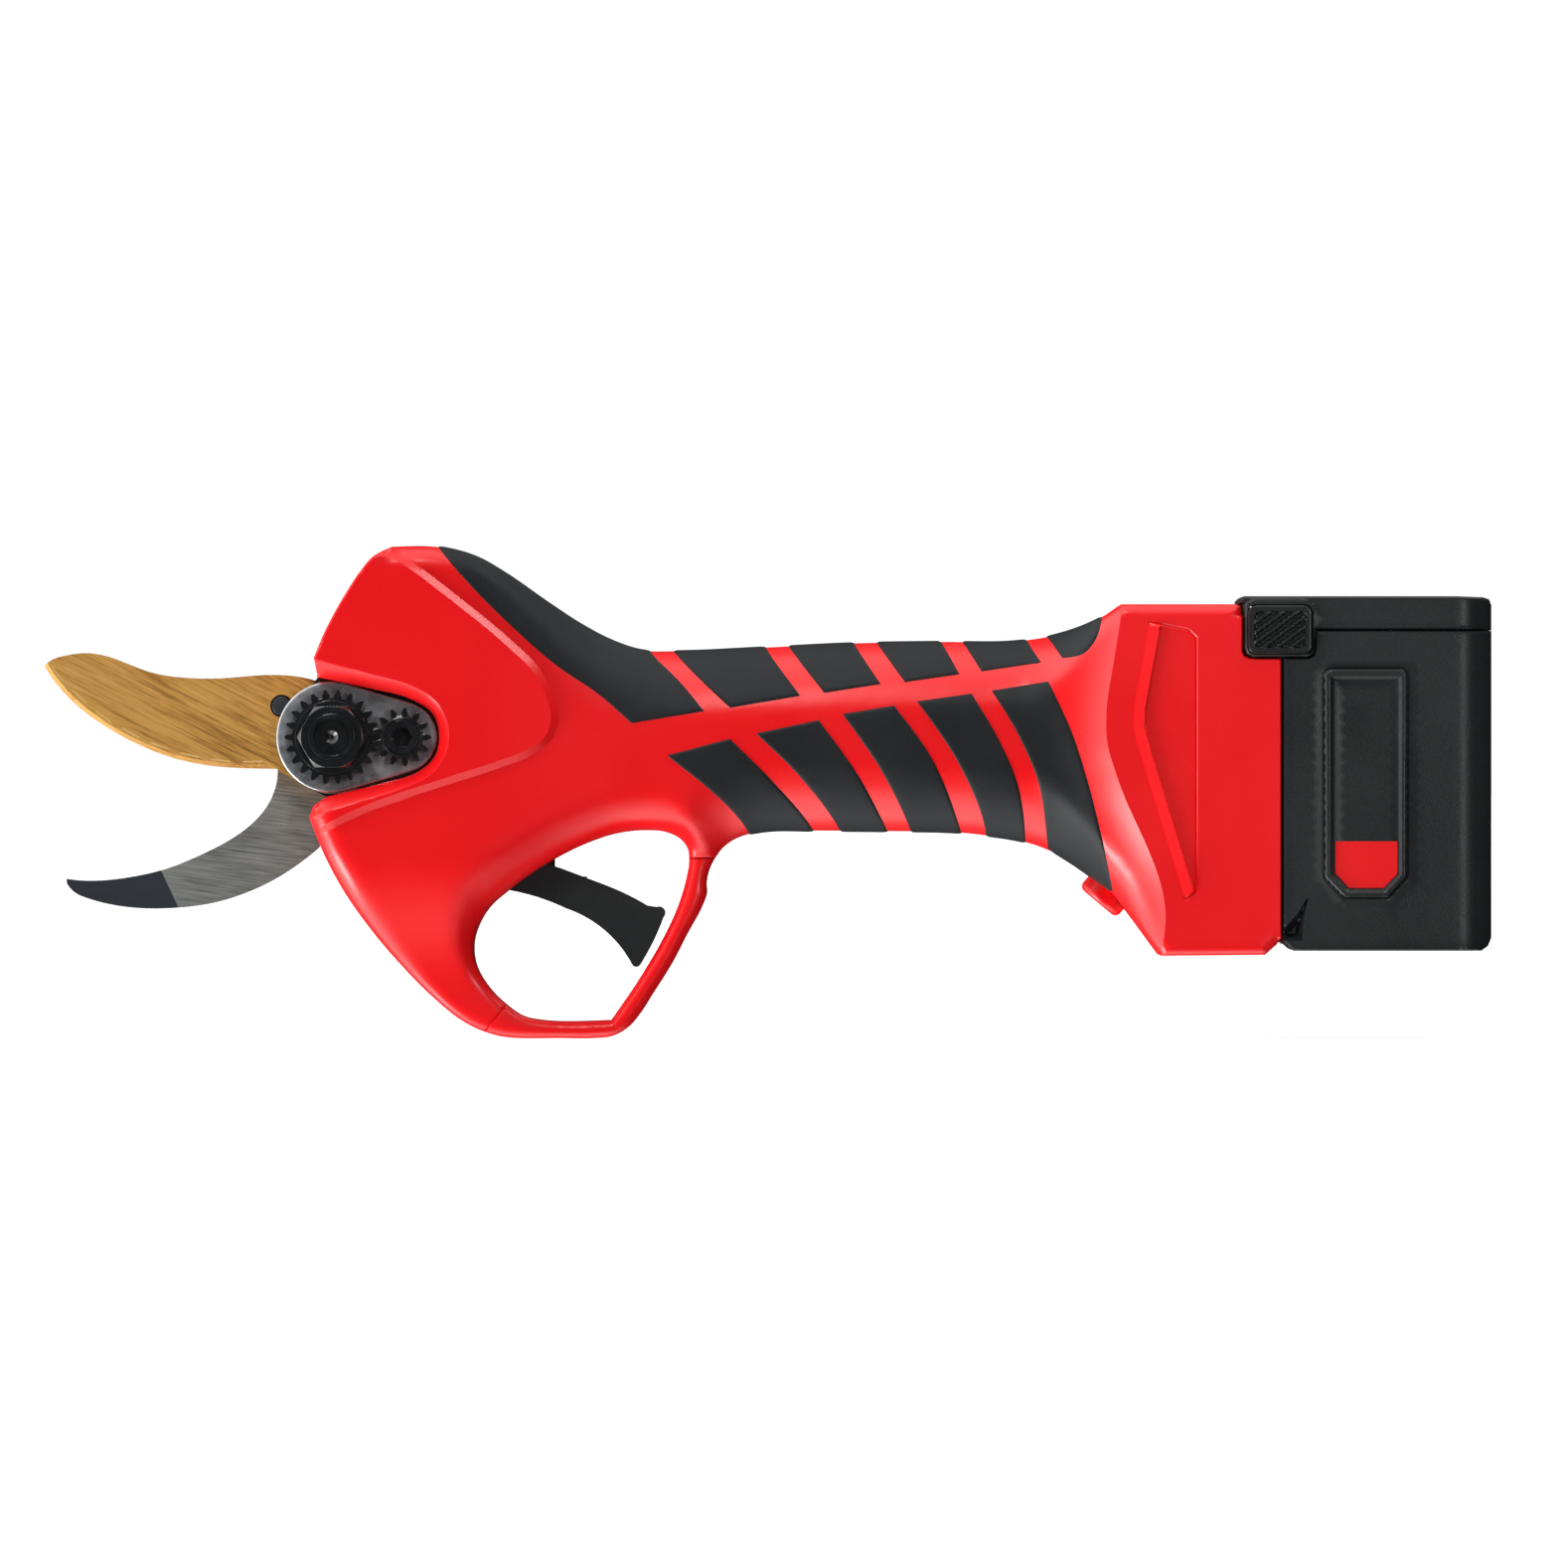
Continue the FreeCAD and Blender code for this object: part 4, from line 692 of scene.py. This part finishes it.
def latch_width(p):
    """The button's face: a flat border round a sunk field with slanting ribs."""
    d = distance(p, latch_pad, True)
    h = BATTERY_HALF + 0.95 - 0.45 * (1 - round_off(d / 0.45))
    sunk = np.clip(distance(p, latch_inner, True) / 0.35, 0, 1) * inside(p, latch_inner)
    across = (p[:, 0] * math.sin(RIB_TURN) - p[:, 1] * math.cos(RIB_TURN)) / RIB_PITCH
    rib = 0.5 + 0.5 * np.cos(2 * math.pi * across)
    return h + sunk * (step(0.35, 0.75, rib) * 0.8 - 0.5)


def rear_columns(low, high, spacing):
    """Mesh rows over the round rear corner."""
    return [np.array([(x, z) for x in np.linspace(240.8, 247.9, 14) for z in np.arange(low, high, spacing)])]


battery_pieces, lid_pieces, latch_pieces = {}, {}, {}
for side in ("left", "right"):
    extra = np.vstack(
        rings(case_line, True, (1, -1), (0.12, 0.35, 0.7)) + rings(field_line, True, (1, -1), (0.25, 0.6))
        + rings(panel_line, True, (1, -1), (0.25, 0.5)) + rings(notch_line, True, (1, -1), (0.3, 0.8, 1.5))
        + rear_columns(-45, 22.5, 2.5)
    )
    battery_pieces[side] = half_shell(
        "battery_case_" + side, [case_line[::-1]], [field_line, panel_line, notch_line], extra,
        case_width(side), case_depth, side, 1.4, 1.6,
    )[0]
    extra = np.vstack(
        rings(lid_line, True, (1, -1), (0.12, 0.4, 0.8)) + rings(latch_hole, True, (1, -1), (0.35, 0.75, 1.1))
        + rear_columns(23, 30, 1.2)
    )
    lid_pieces[side] = half_shell(
        "battery_lid_" + side, [lid_line[::-1], latch_hole], [], extra, lid_width, lid_depth, side, 1.2, 1.2,
    )[0]
    extra = np.vstack(rings(latch_pad, True, (1,), (0.1, 0.25, 0.45)))
    latch_pieces[side] = half_shell(
        "latch_button_pad_" + side, [latch_pad], [latch_inner], extra,
        latch_width, lambda p: np.full(len(p), 21.8), side, 0, 0.3,
    )[0]


def cap_open_side(item):
    """Closes the open inner side of a button."""
    mesh = bmesh.new()
    mesh.from_mesh(item.data)
    bmesh.ops.holes_fill(mesh, edges=[e for e in mesh.edges if e.is_boundary], sides=0)
    mesh.to_mesh(item.data)
    mesh.free()


for piece in latch_pieces.values():
    cap_open_side(piece)


def slab_between(name, outline, y0, y1, round_by=0.0):
    """A flat plate between two depths."""
    count = len(outline)
    verts = [(x, y, z) for y in (y0, y1) for x, z in outline]
    faces = [tuple(range(count)), tuple(range(2 * count - 1, count - 1, -1))]
    faces += [((k + 1) % count, k, count + k, count + (k + 1) % count) for k in range(count)]
    item = object_from(name, place(verts), faces, 30)
    if round_by:
        bevel = item.modifiers.new("edge", "BEVEL")
        bevel.width, bevel.segments, bevel.limit_method = round_by / 1000, 3, "ANGLE"
        item = applied(item, 12)
    return item


BADGE = [(214.6, -22.3), (214.6, -29.2), (217.5, -32.3), (225.0, -32.3), (227.9, -29.2), (227.9, -22.3)]
badge = slab_between("battery_badge", np.array(BADGE), -23.78, -23.3, 0.08)

# painted highlights: bright gold strips for the glints along the cutting edge's bevel, each from one end (x,
# z) to the other
DASHES = [(-60.4, 15.3, -57.4, 11.8), (-56.0, 10.3, -52.5, 7.1), (-51.0, 5.8, -47.2, 3.0),
          (-45.3, 2.1, -41.1, -0.3), (-39.2, -1.1, -34.9, -2.6), (-32.9, -3.3, -28.3, -4.4),
          (-26.2, -4.7, -21.6, -5.3), (-19.4, -5.3, -14.7, -5.2)]


GLINT_HALF = 0.19


def painted_glint_strips():
    """Thin pointed lozenges that stand just out of the blade's left face, in a brighter gold: painted
    highlights of the bevel's glints.
    """
    verts, faces = [], []
    for x0, z0, x1, z1 in DASHES:
        a, b = np.array((x0, z0)), np.array((x1, z1))
        u = (b - a) / np.linalg.norm(b - a)
        n = np.array((-u[1], u[0])) * GLINT_HALF
        start = len(verts)
        ring_points = [a, a + 0.6 * u - n, b - 0.6 * u - n, b, b - 0.6 * u + n, a + 0.6 * u + n]
        verts += [(x, y, z) for y in (-11.715, -11.6) for x, z in ring_points]
        faces += [tuple(start + k for k in range(6)), tuple(start + 11 - k for k in range(6))]
        for k in range(6):
            after = (k + 1) % 6
            faces.append((start + after, start + k, start + 6 + k, start + 6 + after))
    return object_from("blade_painted_glint_strips", place(verts), faces, 20)


glint_strips = painted_glint_strips()
PIN_AT = (-10.9, 6.7)
# painted shade: a dark disc under the pin's end, whose rim shows as the dark ring of shade round the pin
pin_shade_ring = slab_between("blade_pin_shade_ring", circle(PIN_AT, 2.42), -11.712, -11.55)
pin_end = slab_between("blade_pin_end", circle(PIN_AT, 1.95), -11.85, -11.6, 0.12)


def stadium(x0, r0, x1, r1, full=False, count=48):
    """The outline round two circles on the X axis, from the bottom over the right-hand end to the top,
    or all the way round."""
    lean = math.degrees(math.asin((r0 - r1) / (x1 - x0)))

    def arc(x, r, first, last, steps):
        turns = [math.radians(a) for a in np.linspace(first, last, steps)]
        return [(x + r * math.cos(a), r * math.sin(a)) for a in turns]

    big = arc(x0, r0, -179 if full else -110, -90 + lean, 48 if full else 8)
    small = arc(x1, r1, -90 + lean, 90 - lean, count)
    return np.array(big + small + [(x, -z) for x, z in big[::-1]])


plate_edge = stadium(0, 12.15, 15, 7.75)
cheek = slab_between("cheek_plate_face", stadium(0, 11.95, 15, 7.6, full=True), -15.0, -12.4, 0.55)
# painted shade: a dark plate under the cheek plate, filling the gap inside the window's lip where shade falls
shade_seat = slab_between("cheek_plate_shade_seat", np.vstack([plate_edge, lip_inner]), -14.5, -12.6)


# ------------------------------------------------------------------ materials
def graph(name):
    """A new material, its node tree and its shader."""
    made = bpy.data.materials.new(name)
    made.use_nodes = True
    tree = made.node_tree
    return made, tree, tree.nodes["Principled BSDF"]


def colour(hex_code):
    """sRGB hex to linear RGBA."""
    values = [int(hex_code[i:i + 2], 16) / 255 for i in (0, 2, 4)]
    return (*[v / 12.92 if v <= 0.04045 else ((v + 0.055) / 1.055) ** 2.4 for v in values], 1)


def textured(tree, turn=0.0, stretch=(1, 1, 1), scale=400.0, detail=3.0, rough=0.5):
    """A noise over the object's own coordinates, turned about Y and stretched."""
    coord = tree.nodes.new("ShaderNodeTexCoord")
    mapping = tree.nodes.new("ShaderNodeMapping")
    mapping.vector_type = "TEXTURE"
    mapping.inputs["Rotation"].default_value = (0, math.radians(turn), 0)
    mapping.inputs["Scale"].default_value = stretch
    noise = tree.nodes.new("ShaderNodeTexNoise")
    noise.inputs["Scale"].default_value = scale
    noise.inputs["Detail"].default_value = detail
    noise.inputs["Roughness"].default_value = rough
    tree.links.new(coord.outputs["Object"], mapping.inputs["Vector"])
    tree.links.new(mapping.outputs["Vector"], noise.inputs["Vector"])
    return noise


def level(brightness):
    """An opaque grey."""
    return (brightness, brightness, brightness, 1)


def arithmetic(tree, operation, *values):
    """A maths node over the values, which are sockets or constants."""
    node = tree.nodes.new("ShaderNodeMath")
    node.operation = operation
    for socket, value in zip(node.inputs, values):
        if isinstance(value, (int, float)):
            socket.default_value = value
        else:
            tree.links.new(value, socket)
    return node.outputs[0]


def ramp(tree, value, *stops):
    """Colours along a value, from (position, colour) stops."""
    node = tree.nodes.new("ShaderNodeValToRGB")
    node.color_ramp.elements[0].position, node.color_ramp.elements[0].color = stops[0]
    node.color_ramp.elements[1].position, node.color_ramp.elements[1].color = stops[-1]
    for position, shade in stops[1:-1]:
        node.color_ramp.elements.new(position).color = shade
    tree.links.new(value, node.inputs["Fac"])
    return node.outputs["Color"]


def ranged(tree, value, low, high, from_low=0.3, from_high=0.7):
    """The value's stretch from from_low to from_high, spread over low to high."""
    node = tree.nodes.new("ShaderNodeMapRange")
    node.inputs["From Min"].default_value, node.inputs["From Max"].default_value = from_low, from_high
    node.inputs["To Min"].default_value, node.inputs["To Max"].default_value = low, high
    tree.links.new(value, node.inputs["Value"])
    return node.outputs["Result"]


def bumped(tree, shader, value, strength, reach):
    """Fine relief on the shader from the value."""
    node = tree.nodes.new("ShaderNodeBump")
    node.inputs["Strength"].default_value = strength
    node.inputs["Distance"].default_value = reach
    tree.links.new(value, node.inputs["Height"])
    tree.links.new(node.outputs["Normal"], shader.inputs["Normal"])


def plain(name, light, dark, rough, metallic=0.0, *, scale=1500, bump=0.15, spread=0.08, cloud=40, ior=1.5,
          shine=0.5):
    """A moulded, cast or turned surface: fine grain, with broad soft changes of tone."""
    made, tree, shader = graph(name)
    fine, broad = textured(tree, scale=scale, detail=2), textured(tree, scale=cloud, detail=4)
    clouds = ranged(tree, broad.outputs[0], 0.0, 0.45)
    both = arithmetic(tree, "MULTIPLY_ADD", fine.outputs[0], 0.55, clouds)
    shade = ramp(tree, both, (0.2, colour(dark)), (0.8, colour(light)))
    roughness = ranged(tree, both, rough - spread / 2, rough + spread / 2, 0.2, 0.8)
    tree.links.new(shade, shader.inputs["Base Color"])
    tree.links.new(roughness, shader.inputs["Roughness"])
    shader.inputs["Metallic"].default_value = metallic
    shader.inputs["IOR"].default_value = ior
    shader.inputs["Specular IOR Level"].default_value = shine
    bumped(tree, shader, fine.outputs[0], bump, 0.0001)
    return made


LENGTH, PITCH = 26, 2600  # the scratches' stretch along their direction, and their fineness


def brushed(name, light, middle, dark, turn, rough, metallic, stain=None):
    """Ground steel: long fine scratches along one direction, with broad patches. A stain is a line
    (start, end) beyond which the steel is darker, and the two dark shades."""
    made, tree, shader = graph(name)
    lines = textured(tree, turn, (LENGTH, 1, 1), PITCH, 3, 0.65)
    broad = textured(tree, turn, (4, 1, 1), 90, 4, 0.6)
    worn = arithmetic(tree, "MULTIPLY_ADD", lines.outputs[0], 0.6, ranged(tree, broad.outputs[0], 0.1, 0.3))
    shade = ramp(tree, worn, (0.36, colour(dark)), (0.5, colour(middle)), (0.68, colour(light)))
    roughness = ranged(tree, worn, rough + 0.08, rough - 0.06, 0.36, 0.68)
    if stain:
        start, end, tip = stain
        coord = tree.nodes.new("ShaderNodeTexCoord")
        dot = tree.nodes.new("ShaderNodeVectorMath")
        dot.operation = "DOT_PRODUCT"
        across = np.array((end[1] - start[1], -(end[0] - start[0])), float)
        across /= np.linalg.norm(across)
        dot.inputs[1].default_value = (across[0], 0, across[1])
        tree.links.new(coord.outputs["Object"], dot.inputs[0])
        edge = float(place([(start[0], 0, start[1])])[0] @ np.array((across[0], 0, across[1])))
        side_of = ranged(tree, dot.outputs["Value"], 0.0, 1.0, edge - 0.00006, edge + 0.00006)
        blend = tree.nodes.new("ShaderNodeMix")
        blend.data_type = "RGBA"
        dark_shade = ramp(tree, broad.outputs[0], (0.3, colour(tip[0])), (0.7, colour(tip[1])))
        tree.links.new(side_of, blend.inputs["Factor"])
        tree.links.new(shade, blend.inputs[6])
        tree.links.new(dark_shade, blend.inputs[7])
        shade = blend.outputs[2]
    tree.links.new(shade, shader.inputs["Base Color"])
    tree.links.new(roughness, shader.inputs["Roughness"])
    shader.inputs["Metallic"].default_value = metallic
    bumped(tree, shader, lines.outputs[0], 0.12, 0.0001)
    return made


red = plain("satin_red", "fb151b", "f20e15", 0.31, scale=2600, bump=0.05, spread=0.06)
tpe = plain("soft_black", "232628", "16181a", 0.55, scale=3200, bump=0.3, spread=0.1, shine=0.22)
grained = plain("grained_black", "26292a", "181b1c", 0.4, scale=2600, bump=0.3, spread=0.1, shine=0.35)
smooth_black = plain("moulded_black", "1c1e1f", "131415", 0.36, scale=2200, bump=0.12, ior=1.45)
gold = brushed("brushed_gold", "f2bd6c", "d9a04f", "8b5a24", 27, 0.38, metallic=0.3)
# painted highlight: a brighter gold for the glint strips along the cutting edge
glint_gold = plain("painted_glint_gold", "ffd890", "f0b95c", 0.3, 0.3, scale=3000, bump=0.05)
grey = brushed("brushed_steel", "a6a8a3", "858883", "4e5150", 7, 0.38, metallic=0.3,
               stain=((-36.8, -28.7), (-33.2, -36.4), ("30343b", "3a3e46")))
rim_steel = plain("plate_steel", "c8ccd0", "9a9ea3", 0.3, 0.7, scale=900, bump=0.1, spread=0.2, cloud=150)
oxide = plain("black_oxide", "1b1d20", "0c0d0e", 0.25, 0.1, scale=1400, bump=0.08, spread=0.1, cloud=200,
              shine=1.0)
bright = plain("turned_steel", "c4c8ca", "9da2a5", 0.28, 1.0, scale=1400, bump=0.08, spread=0.12)
cast = plain("cast_aluminium", "b5b8b9", "8e9293", 0.5, 1.0, scale=700, bump=0.4, spread=0.15)
bronze = plain("sintered_bronze", "a9793f", "7d5526", 0.45, 1.0, scale=1800, bump=0.2)
copper = plain("copper", "c8794c", "a85c32", 0.35, 1.0, scale=1200, bump=0.1)
board = plain("board_green", "1f6a3c", "12492a", 0.4, scale=500, bump=0.1, cloud=300)
wrap = plain("cell_wrap", "2f6fa8", "245a8c", 0.3, scale=900, bump=0.05)
wire_red = plain("wire_red", "c8202a", "9c141c", 0.4, scale=1200, bump=0.05)
magnet = plain("magnet_grey", "6b6e72", "4c4f53", 0.4, 0.8, scale=1500, bump=0.15)

FINISH = {
    "red_plastic": red, "black_plastic": smooth_black, "black_rubber": tpe,
    "gold_steel": gold, "blade_steel": grey, "bright_steel": bright,
    "dark_steel": oxide, "cast_aluminium": cast, "bronze": bronze, "copper": copper,
    "circuit_green": board, "cell_wrap": wrap, "wire_red": wire_red, "magnet_grey": magnet,
}


def finish_with(item, made):
    """Gives the object one material."""
    item.data.materials.clear()
    item.data.materials.append(made)


SPECIAL = {"cheek_plate": rim_steel, "blade_pin": magnet, "trigger_lever": grained}
for part in frame["record"]["subparts"]:
    node = part["node"]
    if node in nodes:
        finish_with(nodes[node], SPECIAL.get(node, FINISH[part["material_slot"]]))

# rounded edges on CAD nodes: the width in millimetres
EDGES = {
    "adjusting_nut": 0.16, "locking_pinion": 0.14, "locking_screw": 0.15, "pivot_bolt": 0.3,
    "trigger_lever": 0.9, "counter_blade": 0.15,
}
for node, width in EDGES.items():
    weld = nodes[node].modifiers.new("weld", "WELD")
    weld.merge_threshold = 2e-6
    bevel = nodes[node].modifiers.new("edge", "BEVEL")
    bevel.width, bevel.segments = width / 1000, 2
    bevel.limit_method, bevel.angle_limit = "ANGLE", math.radians(38)

# ------------------------------------------------------------------ what rides on what
def dress(item, body, made, node=None):
    """Puts the piece on its body, with its material, and in a CAD node's place if it has one."""
    finish_with(item, made)
    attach(item, body)
    if node:
        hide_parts(node)


for side in ("left", "right"):
    dress(housing[side], "handle", red, "housing_" + side)
    dress(rubber[side], "handle", tpe, "grip_overmold_" + side)
    dress(battery_pieces[side], "battery", grained, "battery_case")
    dress(lid_pieces[side], "battery", grained, "battery_lid")
    dress(latch_pieces[side], "latch_" + side, smooth_black, "latch_button_" + side)
dress(bow, "handle", red, "trigger_guard")
dress(badge, "battery", red)
dress(cheek, "handle", rim_steel, "cheek_plate")
dress(pin_shade_ring, "blade", oxide)
dress(pin_end, "blade", magnet)
dress(shade_seat, "handle", oxide)
dress(glint_strips, "blade", glint_gold)

# ------------------------------------------------------------------ stage, light and camera
scene = bpy.context.scene
scene.view_settings.view_transform = "Standard"

FLOOR_HALF, FLOOR_Z = 60, -0.0002  # just below the guard, which rests on it
floor_mesh = bpy.data.meshes.new("floor")
floor_corners = [(x * FLOOR_HALF, y * FLOOR_HALF, FLOOR_Z) for x, y in ((-1, -1), (1, -1), (1, 1), (-1, 1))]
floor_mesh.from_pydata(floor_corners, [], [(0, 1, 2, 3)])
floor = bpy.data.objects.new("floor", floor_mesh)
scene.collection.objects.link(floor)
paper, tree, shader = graph("floor_paper")
shader.inputs["Base Color"].default_value = level(0.7)
shader.inputs["Roughness"].default_value = 0.8
shader.inputs["Emission Color"].default_value = level(1)
shader.inputs["Emission Strength"].default_value = 0.82
# light from below reaches the tool: only the camera sees the floor
floor.visible_diffuse = floor.visible_glossy = floor.visible_transmission = floor.visible_shadow = False
finish_with(floor, paper)

# a room that is bright above, below and left of the tool, dark before, behind and right of it, and
# plain white to the camera
world = bpy.data.worlds.new("studio")
scene.world = world
world.use_nodes = True
tree = world.node_tree
tree.nodes.clear()
out = tree.nodes.new("ShaderNodeOutputWorld")
coord = tree.nodes.new("ShaderNodeTexCoord")
split = tree.nodes.new("ShaderNodeSeparateXYZ")
tree.links.new(coord.outputs["Generated"], split.inputs[0])
off_middle = arithmetic(tree, "ABSOLUTE", split.outputs["Y"])
across = ramp(tree, off_middle, (0.3, level(1)), (0.58, level(0.09)), (0.92, level(0.013)))
along = ranged(tree, split.outputs["X"], 3.0, 0.06, 0.12, 0.62)
height = ranged(tree, split.outputs["Z"], 0.0, 1.0, -1.0, 1.0)
upright = ramp(tree, height, (0.05, level(0.8)), (0.4, level(1)), (0.65, level(1)), (0.95, level(0.55)))
sky = arithmetic(tree, "MULTIPLY", arithmetic(tree, "MULTIPLY", across, along), upright)
soft = tree.nodes.new("ShaderNodeBackground")
soft.inputs["Color"].default_value = level(1)
tree.links.new(sky, soft.inputs["Strength"])
white = tree.nodes.new("ShaderNodeBackground")
white.inputs["Color"].default_value = level(1)
path = tree.nodes.new("ShaderNodeLightPath")
switch = tree.nodes.new("ShaderNodeMixShader")
tree.links.new(path.outputs["Is Camera Ray"], switch.inputs[0])
tree.links.new(soft.outputs[0], switch.inputs[1])
tree.links.new(white.outputs[0], switch.inputs[2])
tree.links.new(switch.outputs[0], out.inputs["Surface"])


def lamp(name, spot, aim, width, height, power):
    """A rectangular lamp that points from spot to aim, in metres and watts."""
    data = bpy.data.lights.new(name, "AREA")
    data.shape, data.size, data.size_y, data.energy = "RECTANGLE", width, height, power
    item = bpy.data.objects.new(name, data)
    item.location = spot
    item.rotation_euler = (Vector(aim) - Vector(spot)).to_track_quat("-Z", "Y").to_euler()
    item.visible_camera = False
    scene.collection.objects.link(item)


lamp("key", (-0.35, -0.95, 1.2), (0, 0, 0.05), 0.4, 0.25, 7.7)
lamp("low_left", (-1.06, -0.27, -0.72), (0, 0, 0.06), 0.55, 0.55, 12.0)
lamp("high_right", (0.8, -0.17, 1.12), (-0.05, 0, 0.06), 0.5, 0.3, 4.8)
lamp("right", (0.56, -1.1, 0.12), (0.15, 0, 0.06), 0.06, 0.4, 2.6)
lamp("back", (0.5, 1.0, 1.1), (0, 0, 0.05), 0.8, 0.5, 1.2)

# a long lens square to the left side
EYE_DISTANCE, FACE_Y = 3.734, -0.012
camera = bpy.data.cameras.new("photo_camera")
camera.sensor_width, camera.lens, camera.clip_end = 36, 400, 200
eye = bpy.data.objects.new("photo_camera", camera)
eye.location = (0.00355, FACE_Y - EYE_DISTANCE, 0.0551)
eye.rotation_euler = (math.pi / 2, 0, 0)
scene.collection.objects.link(eye)
scene.camera = eye
